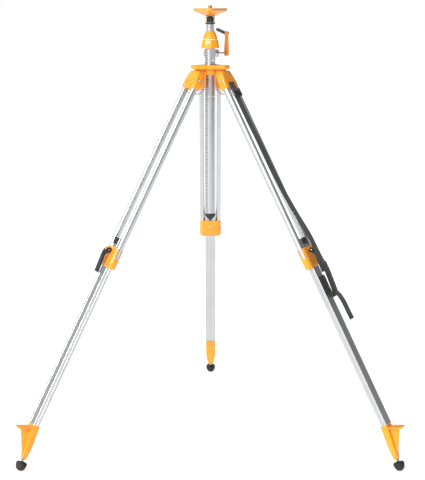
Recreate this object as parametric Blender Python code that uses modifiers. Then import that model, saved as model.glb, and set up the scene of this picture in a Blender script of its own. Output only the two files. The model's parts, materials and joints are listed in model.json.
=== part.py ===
"""Elevating laser tripod: three telescoping legs, a cranked rack column and a triangular head plate.

Metres, +Z up. The feet stand on z = 0 and the origin is the middle of the footprint's bounding box,
so the column's axis stands AXIS_Y away from it. Each leg is built in its own frame, with x outward
from the leg's face, y across the leg and z up along it, and with the fold hinge at the frame's origin.
"""

import math

import bmesh
import bpy
from mathutils import Euler, Matrix, Vector

# ---- driving dimensions ---------------------------------------------------------------------------
GAP = 0.0003

LEG_AZIMUTH = {"rear": 90.0, "left": 210.0, "right": 330.0}
SPLAY = math.radians(28.7)
PIVOT_RADIUS = 0.0775
PIVOT_Z = 1.530
PIVOT_BOLT_R = 0.0040
BOLT_HEAD_R = 0.0058
BOLT_SEAT = 0.0445

BRACKET_TOP = 0.0395
BRACKET_BOTTOM = -0.040
BRACKET_TOP_HALF = 0.036
BRACKET_BOTTOM_HALF = 0.0490
BRACKET_INNER_X = -0.0190
BRACKET_OUTER_X = 0.0165
TONGUE_HALF = 0.0120
TONGUE_R = 0.0125

TUBE_Y = 0.0370
TUBE_HALF_Y = 0.01075
TUBE_HALF_X = 0.0140
TUBE_WALL = 0.0018
TUBE_TOP = -0.0200

CLAMP_TOP = -0.7547
CLAMP_SPLIT = -0.7960
CLAMP_BOTTOM = -0.8427
CLAMP_HALF_Y = 0.0490
CLAMP_HALF_X = 0.0180

LEVER_X = 0.0300
LEVER_Z = -0.7755
LEVER_HALF = 0.0105
LEVER_HEAD_R = 0.0112
LEVER_PIN_R = 0.0030

LOWER_HALF_Y = 0.0240
LOWER_HALF_X = 0.0135
LOWER_WALL = 0.0020
LOWER_TOP = -0.7180
LOWER_BOTTOM = -1.5340

BALL_R = 0.0225
BALL_X = -0.0241
SPIKE_R = 0.0050
FOOT_SECTIONS = (
    (0.0, 0.0085, 0.0100),
    (0.22, 0.0120, 0.0185),
    (0.50, 0.0142, 0.0228),
    (1.0, 0.0160, 0.0240),
)

COLUMN_R = 0.0220
COLUMN_BORE_R = 0.0185
COLUMN_BOTTOM = 0.9730
COLUMN_TOP = 1.6760
INNER_R = 0.0155
INNER_WALL = 0.0020
INNER_BOTTOM = 1.1200
INNER_TOP = 1.7570

HUB_BOTTOM = 1.5527
HUB_PLATE_BOTTOM = 1.5760
HUB_TOP = 1.5917
HUB_R = 0.0370
LOBE_R = 0.0835
LOBE_HALF = 0.0200

FLANGE_TOP = 1.6100
FLANGE_R = 0.0550
HOUSING_TOP = 1.6590
HOUSING_R = 0.0380

CLAMP_RING_TOP = 1.6922
WASHER_TOP = 1.6970
NUT_TOP = 1.7290

DRIVE_AZIMUTH = math.radians(30.0)
PINION_TEETH = 12
PINION_R = 0.0120
TOOTH_PITCH = 2 * math.pi * PINION_R / PINION_TEETH
ADDENDUM = 0.0014
DEDENDUM = 0.0020
RACK_PITCH_LINE = 0.0260
RACK_BOTTOM = 1.1600
RACK_TEETH = 78
RACK_HALF = 0.0050
SHAFT_OFFSET = RACK_PITCH_LINE + PINION_R
SHAFT_R = 0.0050
SHAFT_Z = 1.6365
CASE_END = 0.0520
ARM_T = 0.1005
ARM_LENGTH = 0.0800
KNUCKLE_R = 0.0100
GRIP_START = 0.0125
GRIP_LENGTH = 0.0817
GRIP_PIN_R = 0.0020
GRIP_PIN_REACH = 0.0085
GRIP_R = 0.0068
GRIP_DIRECTION = Vector((0.0, 0.0800, 0.0172)).normalized()
GRIP_PIN = GRIP_DIRECTION.cross(Vector((1.0, 0.0, 0.0))).normalized()

STUD_R = 0.0079375
STUD_TOP = 1.8320
PLATE_TOP = 1.8200
PLATE_EDGE = 1.8105
PLATE_BOTTOM = 1.7890
PLATE_CORNER_R = 0.0757
PLATE_CORNER_CUT = 0.0090

ROUND = 24
SMALL_ROUND = 12

# ---- values worked out from them ------------------------------------------------------------------
BALL_S = (PIVOT_Z + BALL_X * math.sin(SPLAY) - BALL_R) / math.cos(SPLAY)
BALL_REACH = PIVOT_RADIUS + BALL_S * math.sin(SPLAY) + BALL_X * math.cos(SPLAY)
PAD_REACH = 0.0600


def foot_extents():
    """Lowest and highest y of the feet, measured from the column's axis."""
    pad_out = PIVOT_RADIUS - LOWER_BOTTOM * math.sin(SPLAY) + LOWER_HALF_X * math.cos(SPLAY) + PAD_REACH
    rear = max(BALL_REACH + BALL_R, pad_out)
    half_pad = 0.022
    front = max(BALL_REACH * 0.5 + BALL_R, pad_out * 0.5 + half_pad * math.cos(math.radians(30.0)))
    return -front, rear


AXIS_Y = -sum(foot_extents()) / 2

COLOURS = {
    "yellow_casting": ((0.90, 0.42, 0.03, 1.0), 0.0, 0.42),
    "bare_aluminium": ((0.72, 0.73, 0.74, 1.0), 0.9, 0.35),
    "bright_steel": ((0.80, 0.80, 0.78, 1.0), 1.0, 0.22),
    "black_plastic": ((0.02, 0.02, 0.022, 1.0), 0.0, 0.45),
    "black_rubber": ((0.015, 0.015, 0.015, 1.0), 0.0, 0.75),
    "black_webbing": ((0.012, 0.012, 0.013, 1.0), 0.0, 0.9),
    "cream_nylon": ((0.86, 0.78, 0.60, 1.0), 0.0, 0.5),
}


# ---- scene, materials and placing -----------------------------------------------------------------
def clear_scene():
    for obj in list(bpy.data.objects):
        bpy.data.objects.remove(obj, do_unlink=True)


def make_collection(name):
    collection = bpy.data.collections.new(name)
    bpy.context.scene.collection.children.link(collection)
    return collection


def material(name):
    found = bpy.data.materials.get(name)
    if found:
        return found
    colour, metallic, roughness = COLOURS[name]
    made = bpy.data.materials.new(name)
    made.use_nodes = True
    shader = made.node_tree.nodes["Principled BSDF"]
    shader.inputs["Base Color"].default_value = colour
    shader.inputs["Metallic"].default_value = metallic
    shader.inputs["Roughness"].default_value = roughness
    made.diffuse_color = colour
    return made


def empty(name, parent, location, rotation=(0.0, 0.0, 0.0)):
    obj = bpy.data.objects.new(name, None)
    PARTS.objects.link(obj)
    obj.empty_display_size = 0.03
    obj.parent = parent
    obj.location = location
    obj.rotation_euler = rotation
    return obj


def finish_mesh(name, bm):
    """Turns a bmesh into a mesh whose faces point out."""
    bmesh.ops.remove_doubles(bm, verts=bm.verts, dist=1e-6)
    bmesh.ops.recalc_face_normals(bm, faces=bm.faces)
    mesh = bpy.data.meshes.new(name)
    bm.to_mesh(mesh)
    bm.free()
    return mesh


def put(obj, parent, surface, smooth=None, location=(0.0, 0.0, 0.0), rotation=(0.0, 0.0, 0.0)):
    """Parents a finished object, gives it its place and its material, and smooths it where asked."""
    obj.parent = parent
    obj.location = location
    obj.rotation_euler = rotation
    obj.data.materials.clear()
    obj.data.materials.append(material(surface))
    if smooth is not None:
        obj.data.shade_smooth()
        obj.data.set_sharp_from_angle(angle=math.radians(smooth))
    return obj


def solid(name, bm, group=None):
    obj = bpy.data.objects.new(name, finish_mesh(name, bm))
    (group or PARTS).objects.link(obj)
    return obj


def cutter(name, bm):
    obj = solid(name, bm, CUTTERS)
    obj.hide_render = True
    obj.display_type = "WIRE"
    return obj


# ---- shapes ---------------------------------------------------------------------------------------
def box(low, high):
    bm = bmesh.new()
    low, high = Vector(low), Vector(high)
    size = high - low
    matrix = Matrix.Translation((low + high) / 2) @ Matrix.Diagonal((size.x, size.y, size.z, 1.0))
    bmesh.ops.create_cube(bm, size=1.0, matrix=matrix)
    return bm


AXES = {
    "X": Euler((0.0, math.pi / 2, 0.0)),
    "Y": Euler((-math.pi / 2, 0.0, 0.0)),
    "Z": Euler((0.0, 0.0, 0.0)),
}


def cylinder(radius, start, end, axis="Z", centre=(0.0, 0.0), end_radius=None, sides=ROUND):
    """A cylinder or cone frustum along an axis, from start to end, centred on the other two coordinates."""
    bm = bmesh.new()
    place = {
        "X": ((start + end) / 2, centre[0], centre[1]),
        "Y": (centre[0], (start + end) / 2, centre[1]),
        "Z": (centre[0], centre[1], (start + end) / 2),
    }[axis]
    matrix = Matrix.Translation(place) @ AXES[axis].to_matrix().to_4x4()
    bmesh.ops.create_cone(
        bm,
        cap_ends=True,
        segments=sides,
        radius1=radius,
        radius2=radius if end_radius is None else end_radius,
        depth=end - start,
        matrix=matrix,
    )
    return bm


PLANES = {
    "XY": Matrix(((1, 0, 0), (0, 1, 0), (0, 0, 1))),
    "XZ": Matrix(((1, 0, 0), (0, 0, -1), (0, 1, 0))),
    "YZ": Matrix(((0, 0, 1), (1, 0, 0), (0, 1, 0))),
}


def prism(outline, low, high, plane="XY"):
    """An outline in a plane, extruded between two heights along the plane's normal.

    The normal is +Z for XY, -Y for XZ and +X for YZ.
    """
    bm = bmesh.new()
    bottom = [bm.verts.new((u, v, low)) for u, v in outline]
    top = [bm.verts.new((u, v, high)) for u, v in outline]
    bm.faces.new(bottom[::-1])
    bm.faces.new(top)
    for i in range(len(outline)):
        after = (i + 1) % len(outline)
        bm.faces.new((bottom[i], bottom[after], top[after], top[i]))
    bmesh.ops.transform(bm, verts=bm.verts, matrix=PLANES[plane].to_4x4())
    bmesh.ops.recalc_face_normals(bm, faces=bm.faces)
    return bm


def arc(centre, radius, start, end, steps):
    """Points on an arc, with the angles in degrees."""
    angles = [math.radians(start + (end - start) * i / steps) for i in range(steps + 1)]
    return [(centre[0] + radius * math.cos(a), centre[1] + radius * math.sin(a)) for a in angles]


def oval(half_u, half_v, centre=(0.0, 0.0), sides=16):
    turns = [2 * math.pi * i / sides for i in range(sides)]
    return [(centre[0] + half_u * math.cos(a), centre[1] + half_v * math.sin(a)) for a in turns]


def stadium(half_u, half_v, steps=8):
    """A slot shape with round ends along u."""
    straight = half_u - half_v
    return arc((straight, 0.0), half_v, -90, 90, steps) + arc((-straight, 0.0), half_v, 90, 270, steps)


def rounded_rectangle(half_u, half_v, radius, steps=3):
    corners = ((1, 1, 0), (-1, 1, 90), (-1, -1, 180), (1, -1, 270))
    points = []
    for u, v, start in corners:
        centre = (u * (half_u - radius), v * (half_v - radius))
        points += arc(centre, radius, start, start + 90, steps)
    return points


def band_outline(path, thickness):
    """The outline of a flat band of even thickness that follows a path."""
    sides = ([], [])
    for i, point in enumerate(path):
        before = Vector(path[max(i - 1, 0)])
        after = Vector(path[min(i + 1, len(path) - 1)])
        along = (after - before).normalized()
        across = Vector((-along.y, along.x)) * thickness / 2
        sides[0].append(tuple(Vector(point) + across))
        sides[1].append(tuple(Vector(point) - across))
    return sides[0] + sides[1][::-1]


def turned(name, profile, parent, surface, location=(0.0, 0.0, 0.0), rotation=(0.0, 0.0, 0.0), steps=ROUND):
    """A turned piece: (radius, z) points down the outer side and back up the bore, if it has one."""
    bm = bmesh.new()
    points = [bm.verts.new((radius, 0.0, z)) for radius, z in profile]
    for i, point in enumerate(points):
        if profile[i][0] > 0.0 or profile[i - 1][0] > 0.0:
            bm.edges.new((points[i - 1], point))
    mesh = bpy.data.meshes.new(name)
    bm.to_mesh(mesh)
    bm.free()
    obj = bpy.data.objects.new(name, mesh)
    PARTS.objects.link(obj)
    screw = obj.modifiers.new("turn", "SCREW")
    screw.steps = steps
    screw.render_steps = steps
    screw.use_merge_vertices = True
    screw.merge_threshold = 0.00001
    screw.use_smooth_shade = True
    return put(obj, parent, surface, None, location, rotation)


def bevelled(obj, width, segments=2, angle=30.0):
    bevel = obj.modifiers.new("round_edges", "BEVEL")
    bevel.width = width
    bevel.segments = segments
    bevel.limit_method = "ANGLE"
    bevel.angle_limit = math.radians(angle)
    return obj


def join(obj, bm, operation):
    """Adds or cuts one shape, and keeps the result as plain mesh."""
    other = cutter(obj.name + "_tool", bm)
    step = obj.modifiers.new("step", "BOOLEAN")
    step.operation = operation
    step.solver = "EXACT"
    step.object = other
    bpy.context.view_layer.update()
    graph = bpy.context.evaluated_depsgraph_get()
    made = bpy.data.meshes.new_from_object(obj.evaluated_get(graph))
    old = obj.data
    obj.modifiers.clear()
    obj.data = made
    made.name = obj.name
    bpy.data.meshes.remove(old)
    bpy.data.objects.remove(other, do_unlink=True)
    return obj


def add(obj, bm):
    return join(obj, bm, "UNION")


def cut(obj, bm):
    return join(obj, bm, "DIFFERENCE")


def tube(name, outer, inner, low, high, parent, surface):
    """An extruded tube with open ends, its section in the frame's XY plane."""
    obj = solid(name, prism(outer, low, high))
    cut(obj, prism(inner, low - 0.01, high + 0.01))
    return put(obj, parent, surface, smooth=40)


# ---- one leg --------------------------------------------------------------------------------------
def leg_bracket(side, frame):
    """Casting that hangs on the hub's tongue and holds the tops of both upper tubes."""
    outline = [
        (-BRACKET_TOP_HALF, BRACKET_TOP),
        (-BRACKET_BOTTOM_HALF, BRACKET_BOTTOM + 0.030),
        (-BRACKET_BOTTOM_HALF, BRACKET_BOTTOM),
        (BRACKET_BOTTOM_HALF, BRACKET_BOTTOM),
        (BRACKET_BOTTOM_HALF, BRACKET_BOTTOM + 0.030),
        (BRACKET_TOP_HALF, BRACKET_TOP),
    ]
    obj = solid("leg_bracket_" + side, prism(outline, BRACKET_INNER_X, BRACKET_OUTER_X, "YZ"))
    bevelled(obj, 0.008, 2)
    slot_half = TONGUE_HALF + 2 * GAP
    cut(obj, box((-0.04, -slot_half, -0.020), (TONGUE_R + 0.0012, slot_half, 0.05)))
    cut(obj, cylinder(PIVOT_BOLT_R + GAP, -0.07, 0.07, "Y", sides=SMALL_ROUND))
    for way in (-1, 1):
        seat = sorted((way * BOLT_SEAT, way * 0.07))
        cut(obj, cylinder(BOLT_HEAD_R + 2 * GAP, seat[0], seat[1], "Y", sides=SMALL_ROUND))
        socket = oval(TUBE_HALF_X + GAP, TUBE_HALF_Y + GAP, (0.0, way * TUBE_Y))
        cut(obj, prism(socket, BRACKET_BOTTOM - 0.01, TUBE_TOP + GAP))
    return put(obj, frame, "yellow_casting", smooth=35)


def pivot_bolt(side, frame):
    reach = BOLT_SEAT + GAP
    end = reach + 0.0032
    profile = [
        (0.0, end),
        (BOLT_HEAD_R, end),
        (BOLT_HEAD_R, reach),
        (PIVOT_BOLT_R, reach),
        (PIVOT_BOLT_R, -reach),
        (BOLT_HEAD_R, -reach),
        (BOLT_HEAD_R, -end),
        (0.0, -end),
    ]
    turned(
        "pivot_bolt_" + side,
        profile,
        frame,
        "bright_steel",
        rotation=(math.pi / 2, 0.0, 0.0),
        steps=SMALL_ROUND,
    )


def upper_tubes(side, frame):
    for letter, centre in (("a", -TUBE_Y), ("b", TUBE_Y)):
        outer = oval(TUBE_HALF_X, TUBE_HALF_Y, (0.0, centre))
        inner = oval(TUBE_HALF_X - TUBE_WALL, TUBE_HALF_Y - TUBE_WALL, (0.0, centre))
        name = f"upper_tube_{letter}_{side}"
        tube(name, outer, inner, CLAMP_SPLIT, TUBE_TOP, frame, "bare_aluminium")


def clamp_body(side, frame):
    """Casting on the lower ends of the upper tubes, with the lower leg sliding through its middle."""
    section = [(v, u) for u, v in stadium(CLAMP_HALF_Y, CLAMP_HALF_X, 5)]
    obj = solid("clamp_body_" + side, prism(section[::-1], CLAMP_BOTTOM, CLAMP_TOP))
    bevelled(obj, 0.003, 1, 60.0)
    slot = GAP * 2
    rear_x = -LOWER_HALF_X - slot
    front_x = LOWER_HALF_X + slot
    cut(obj, box((rear_x, -LOWER_HALF_Y - slot, -0.9), (front_x, LOWER_HALF_Y + slot, -0.7)))
    for way in (-1, 1):
        socket = oval(TUBE_HALF_X + GAP, TUBE_HALF_Y + GAP, (0.0, way * TUBE_Y))
        cut(obj, prism(socket, CLAMP_SPLIT - GAP, -0.7))
        window_y = sorted((way * 0.0385, way * 0.06))
        cut(obj, box((-0.0060, window_y[0], CLAMP_SPLIT - GAP), (0.0110, window_y[1], -0.7)))
    groove = box((CLAMP_HALF_X - 0.0015, -0.06, CLAMP_SPLIT - 0.001), (0.03, 0.06, CLAMP_SPLIT + 0.001))
    cut(obj, groove)
    lug = box((CLAMP_HALF_X - 0.002, -0.0060, LEVER_Z - 0.011), (LEVER_X, 0.0060, LEVER_Z + 0.011))
    add(obj, lug)
    add(obj, cylinder(0.0110, -0.0060, 0.0060, "Y", (LEVER_X, LEVER_Z), sides=20))
    cut(obj, cylinder(LEVER_PIN_R + GAP, -0.02, 0.02, "Y", (LEVER_X, LEVER_Z), sides=SMALL_ROUND))
    return put(obj, frame, "yellow_casting", smooth=35)


def clamp_lever(side, frame):
    """Cam lever forked over the clamp's lug. Its frame's origin is the lever's hinge."""
    outline = arc((0.0, 0.0), LEVER_HEAD_R, 200, 50, 8)
    outline += [(0.0110, 0.0040), (0.0145, -0.0080), (0.0165, -0.0180), (0.0160, -0.0985)]
    outline += [(0.0130, -0.1005), (0.0085, -0.1000), (0.0065, -0.0975), (0.0085, -0.0240), (0.0040, -0.0150)]
    outline += arc((0.0, 0.0), LEVER_HEAD_R, 265, 205, 4)
    obj = solid("clamp_lever_" + side, prism(outline, -LEVER_HALF, LEVER_HALF, "XZ"))
    bevelled(obj, 0.0015, 1, 50.0)
    cut(obj, box((-0.02, -0.0066, -0.0150), (0.0145, 0.0066, 0.0150)))
    cut(obj, cylinder(LEVER_PIN_R + GAP, -0.02, 0.02, "Y", sides=SMALL_ROUND))
    return put(obj, frame, "black_plastic", smooth=35)


def lever_pin(side, frame):
    reach = LEVER_HALF + 0.0008
    pin = cylinder(LEVER_PIN_R, -reach, reach, "Y", (LEVER_X, LEVER_Z), sides=SMALL_ROUND)
    obj = solid("lever_pin_" + side, pin)
    return put(obj, frame, "bright_steel", smooth=40)


def leg_guide(side, frame):
    """Black shoe over the top end of the lower leg, which stops it from pulling out of the clamp."""
    pad_low = (LOWER_HALF_X + GAP, -0.0150, LOWER_TOP - 0.0240)
    pad_high = (0.0172, 0.0150, LOWER_TOP + 0.0022)
    obj = solid("leg_guide_" + side, box(pad_low, pad_high))
    cap_low = (-LOWER_HALF_X, -0.0235, LOWER_TOP + GAP)
    cap_high = (LOWER_HALF_X + 0.001, 0.0235, LOWER_TOP + 0.0022)
    add(obj, box(cap_low, cap_high))
    return put(obj, frame, "black_plastic")


def lower_leg(side, frame):
    outer = rounded_rectangle(LOWER_HALF_X, LOWER_HALF_Y, 0.003)
    inner = rounded_rectangle(LOWER_HALF_X - LOWER_WALL, LOWER_HALF_Y - LOWER_WALL, 0.001, 1)
    tube("lower_leg_" + side, outer, inner, LOWER_BOTTOM, LOWER_TOP, frame, "bare_aluminium")


def foot_axis():
    """Foot axis in the leg's frame: the ball's centre and the unit vector from the ball to the leg."""
    ball = Vector((BALL_X, 0.0, -BALL_S))
    return ball, (Vector((0.0, 0.0, LOWER_BOTTOM)) - ball).normalized()


def foot_half_sizes(share):
    """Half thickness and half width of the foot, from the neck (0) to the top (1)."""
    for end, half_x, half_y in FOOT_SECTIONS:
        if share <= end + 0.01:
            return half_x, half_y
    return FOOT_SECTIONS[-1][1:]


def foot_casting(side, frame):
    """Tapered casting with a plug inside the lower leg, a rib and a level tread pad for a boot."""
    ball, up = foot_axis()
    neck = ball + up * 0.0280
    top = LOWER_BOTTOM - GAP
    bm = box((-1.0, -1.0, neck.z), (1.0, 1.0, top))
    for share in (0.22, 0.50):
        cut_height = (0.0, 0.0, neck.z + (top - neck.z) * share)
        everything = bm.verts[:] + bm.edges[:] + bm.faces[:]
        bmesh.ops.bisect_plane(bm, geom=everything, plane_co=cut_height, plane_no=(0.0, 0.0, 1.0))
    for vert in bm.verts:
        share = (vert.co.z - neck.z) / (top - neck.z)
        half_x, half_y = foot_half_sizes(share)
        middle = neck.x * (1.0 - share) - 0.0025 * share
        vert.co.x = middle + math.copysign(half_x, vert.co.x)
        vert.co.y = math.copysign(half_y, vert.co.y)
    obj = solid("foot_casting_" + side, bm)
    bevelled(obj, 0.003, 1)
    plug_x = LOWER_HALF_X - LOWER_WALL - 0.0008
    plug_y = LOWER_HALF_Y - LOWER_WALL - 0.0008
    add(obj, box((-plug_x, -plug_y, top - 0.002), (plug_x, plug_y, top + 0.040)))
    rib = [
        (0.0, top - 0.004),
        (0.0500, LOWER_BOTTOM - 0.0320),
        (0.0130, LOWER_BOTTOM - 0.0930),
        (neck.x + 0.004, neck.z + 0.002),
        (neck.x, neck.z + 0.010),
    ]
    add(obj, prism(rib, -0.0040, 0.0040, "XZ"))
    pad = box((-0.0040, -0.022, -0.0045), (PAD_REACH, 0.022, 0.0))
    tilt = Matrix.Translation((LOWER_HALF_X, 0.0, top - 0.0030)) @ Matrix.Rotation(SPLAY, 4, "Y")
    bmesh.ops.transform(pad, verts=pad.verts, matrix=tilt)
    add(obj, pad)
    bore = cylinder(SPIKE_R + GAP, 0.0, 0.0700, sides=SMALL_ROUND)
    bmesh.ops.transform(bore, verts=bore.verts, matrix=Matrix.Translation(ball) @ foot_turn())
    cut(obj, bore)
    return put(obj, frame, "yellow_casting", smooth=35)


def foot_turn():
    """Turns +Z onto the foot's axis."""
    up = foot_axis()[1]
    return Matrix.Rotation(math.atan2(up.x, up.z), 4, "Y")


def foot_frame_rotation():
    return foot_turn().to_euler()


def foot_spike(side, frame):
    ball = foot_axis()[0]
    profile = [(0.0, 0.0690), (SPIKE_R, 0.0690), (SPIKE_R, 0.0010), (0.0, -0.0080)]
    turned("foot_spike_" + side, profile, frame, "bright_steel", ball, foot_frame_rotation(), SMALL_ROUND)


def rubber_foot(side, frame):
    """Domed rubber foot with a blind socket for the spike."""
    ball = foot_axis()[0]
    top = 0.0125
    profile = [(SPIKE_R + GAP, top), (0.0195, top)]
    for angle in range(24, -73, -16):
        turn = math.radians(angle)
        profile.append((BALL_R * math.cos(turn), BALL_R * math.sin(turn)))
    profile += [(0.0, -BALL_R), (0.0, -0.0090), (SPIKE_R + GAP, 0.0005)]
    turned("rubber_foot_" + side, profile, frame, "black_rubber", ball, foot_frame_rotation(), 20)


def leg(side):
    azimuth = math.radians(LEG_AZIMUTH[side])
    pivot = (PIVOT_RADIUS * math.cos(azimuth), PIVOT_RADIUS * math.sin(azimuth), PIVOT_Z)
    upper = empty("leg_frame_" + side, TRIPOD, pivot, (0.0, -SPLAY, azimuth))
    lower = empty("lower_frame_" + side, upper, (0.0, 0.0, 0.0))
    lever = empty("lever_frame_" + side, upper, (LEVER_X, 0.0, LEVER_Z))
    leg_bracket(side, upper)
    pivot_bolt(side, upper)
    upper_tubes(side, upper)
    clamp_body(side, upper)
    lever_pin(side, upper)
    clamp_lever(side, lever)
    leg_guide(side, lower)
    lower_leg(side, lower)
    foot_casting(side, lower)
    foot_spike(side, lower)
    rubber_foot(side, lower)
    return upper


# ---- carrying strap on the right leg --------------------------------------------------------------
STRAP_LEFT = -0.0240
STRAP_RIGHT = 0.0160
STRAP_THICK = 0.0024
PAD_THICK = 0.0060
STRAP_RUN = [
    (0.0182, -0.0160),
    (0.0182, -0.0380),
    (0.0215, -0.0560),
    (0.0175, -0.0780),
    (0.0163, -0.1000),
    (0.0172, -0.2000),
    (0.0200, -0.2800),
    (0.0208, -0.4200),
    (0.0260, -0.5300),
    (0.0360, -0.6300),
    (0.0430, -0.6800),
    (0.0475, -0.7300),
    (0.0485, -0.7900),
    (0.0500, -0.8200),
    (0.0520, -0.8460),
]
PAD_RUN = [
    (0.0530, -0.8500),
    (0.0525, -0.8760),
    (0.0470, -0.9500),
    (0.0440, -0.9730),
    (0.0370, -0.9840),
    (0.0280, -0.9840),
    (0.0205, -0.9740),
    (0.0180, -0.9580),
    (0.0185, -0.8930),
]
TAIL_RUN = [
    (0.0495, -0.9680),
    (0.0560, -0.9850),
    (0.0605, -1.0050),
    (0.0622, -1.0300),
    (0.0625, -1.0600),
    (0.0635, -1.0940),
]


def strap(frame):
    """Webbing down the outer face of the leg, its padded loop below the clamp and the loose tail."""
    pieces = (
        ("strap_webbing", STRAP_RUN, STRAP_THICK, 0.0),
        ("strap_pad", PAD_RUN, PAD_THICK, 0.002),
        ("strap_tail", TAIL_RUN, STRAP_THICK, 0.0),
    )
    for name, path, thickness, wider in pieces:
        outline = band_outline(path, thickness)
        band = prism(outline, -STRAP_RIGHT - wider, -STRAP_LEFT + wider, "XZ")
        put(solid(name, band), frame, "black_webbing")


# ---- hub, gear case and crank ---------------------------------------------------------------------
def hub_outline():
    points = []
    for azimuth in sorted(LEG_AZIMUTH.values()):
        turn = math.radians(azimuth)
        for way in (-1, 1):
            radial = Vector((math.cos(turn), math.sin(turn))) * LOBE_R
            across = Vector((-math.sin(turn), math.cos(turn))) * LOBE_HALF * way
            points.append(tuple(radial + across))
        between = turn + math.pi / 3
        points.append((0.052 * math.cos(between), 0.052 * math.sin(between)))
    return points


def tongue(azimuth):
    """The lug under one lobe that a leg bracket is forked over, in the radial plane of the leg."""
    slant = math.degrees(SPLAY)
    outline = [(0.030, HUB_PLATE_BOTTOM + 0.002), (0.030, HUB_BOTTOM + 0.004)]
    outline += arc((PIVOT_RADIUS, PIVOT_Z), TONGUE_R, 250, 360 + slant, 10)
    edge = PIVOT_RADIUS + TONGUE_R / math.cos(SPLAY)
    rise = HUB_PLATE_BOTTOM + 0.002 - PIVOT_Z
    outline.append((edge - rise * math.tan(SPLAY), HUB_PLATE_BOTTOM + 0.002))
    bm = prism(outline, -TONGUE_HALF, TONGUE_HALF, "XZ")
    bmesh.ops.transform(bm, verts=bm.verts, matrix=Matrix.Rotation(azimuth, 4, "Z"))
    return bm


def rack_slot(low, high, half_width):
    """The channel that the column's rack runs in."""
    bm = box((0.0, -half_width, low), (RACK_PITCH_LINE + ADDENDUM + 0.0010, half_width, high))
    turn = Matrix.Rotation(DRIVE_AZIMUTH + math.pi / 2, 4, "Z")
    bmesh.ops.transform(bm, verts=bm.verts, matrix=turn)
    return bm


def hub():
    obj = solid("hub", prism(hub_outline(), HUB_PLATE_BOTTOM, HUB_TOP))
    bevelled(obj, 0.003, 1)
    add(obj, cylinder(HUB_R, HUB_BOTTOM, HUB_PLATE_BOTTOM + 0.002, sides=40))
    for azimuth in LEG_AZIMUTH.values():
        turn = math.radians(azimuth)
        add(obj, tongue(turn))
        bore = cylinder(PIVOT_BOLT_R + GAP, -0.03, 0.03, "Y", (PIVOT_RADIUS, PIVOT_Z), sides=SMALL_ROUND)
        bmesh.ops.transform(bore, verts=bore.verts, matrix=Matrix.Rotation(turn, 4, "Z"))
        cut(obj, bore)
    cut(obj, cylinder(COLUMN_R + 0.0005, HUB_BOTTOM - 0.01, HUB_TOP + 0.01, sides=ROUND))
    cut(obj, rack_slot(HUB_BOTTOM - 0.01, HUB_TOP + 0.01, RACK_HALF + 0.0006))
    return put(obj, TRIPOD, "yellow_casting", smooth=35)


def drive_point(along, across, height):
    """A point given along and across the crank shaft's direction."""
    flat = Matrix.Rotation(DRIVE_AZIMUTH, 2) @ Vector((along, across))
    return Vector((flat.x, flat.y, height))


def gearbox_housing():
    """Casting bolted to the hub that guides the column and holds the pinion shaft."""
    low = HUB_TOP + GAP
    obj = solid("gearbox_housing", cylinder(FLANGE_R, low, FLANGE_TOP, sides=40))
    bevelled(obj, 0.003, 1, 50.0)
    add(obj, cylinder(HOUSING_R, FLANGE_TOP - 0.002, HOUSING_TOP, sides=40))
    turn = Matrix.Rotation(DRIVE_AZIMUTH, 4, "Z")
    blocks = (
        box((-0.014, -0.0135, FLANGE_TOP - 0.008), (CASE_END, 0.0565, HOUSING_TOP - 0.004)),
        box((0.0, -0.0145, low + 0.001), (CASE_END + 0.001, 0.0300, 1.6185)),
        cylinder(0.0070, 1.6400, HOUSING_TOP - 0.0015, centre=(0.0455, -0.0080), sides=SMALL_ROUND),
    )
    for block in blocks:
        bmesh.ops.transform(block, verts=block.verts, matrix=turn)
        add(obj, block)
    cut(obj, cylinder(COLUMN_R + 0.0005, low - 0.01, HOUSING_TOP + 0.01, sides=ROUND))
    cut(obj, rack_slot(low - 0.01, HOUSING_TOP + 0.01, RACK_HALF + 0.0006))
    pinion_room = cylinder(PINION_R + ADDENDUM + 0.0011, -0.0075, 0.08, "X", (SHAFT_OFFSET, SHAFT_Z))
    bmesh.ops.transform(pinion_room, verts=pinion_room.verts, matrix=turn)
    cut(obj, pinion_room)
    return put(obj, TRIPOD, "yellow_casting", smooth=35)


def bearing_cover():
    """Bush pressed into the gear case behind the pinion, with its flange outside."""
    plug = PINION_R + ADDENDUM + 0.0011 - GAP
    bore = SHAFT_R + GAP
    profile = [
        (bore, 0.0050),
        (0.0165, 0.0050),
        (0.0165, GAP),
        (plug, GAP),
        (plug, -0.0410),
        (bore, -0.0410),
    ]
    place = drive_point(CASE_END, SHAFT_OFFSET, SHAFT_Z)
    turned("bearing_cover", profile, TRIPOD, "bright_steel", place, (0.0, math.pi / 2, DRIVE_AZIMUTH), 24)


def gear_outline():
    points = []
    root = PINION_R - DEDENDUM
    tip = PINION_R + ADDENDUM
    for tooth in range(PINION_TEETH):
        middle = 2 * math.pi * tooth / PINION_TEETH
        for radius, half in ((root, 0.150), (PINION_R, 0.100), (tip, 0.045)):
            points.append((radius, middle - half))
        for radius, half in ((tip, 0.045), (PINION_R, 0.100), (root, 0.150)):
            points.append((radius, middle + half))
    return [(radius * math.cos(angle), radius * math.sin(angle)) for radius, angle in points]


def crank_shaft(frame):
    """Steel shaft with its pinion cut on it. The frame's +X is the shaft's direction."""
    obj = solid("crank_shaft", prism(gear_outline(), -0.0060, 0.0060, "YZ"))
    add(obj, cylinder(SHAFT_R, 0.0, ARM_T + 0.0100, "X", sides=SMALL_ROUND))
    return put(obj, frame, "bright_steel", smooth=35)


def grip_axes():
    """Turn from the grip's frame to the crank's: +X along the grip and +Y along its fold pin."""
    third = GRIP_DIRECTION.cross(GRIP_PIN)
    return Matrix((GRIP_DIRECTION, GRIP_PIN, third)).transposed()


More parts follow.
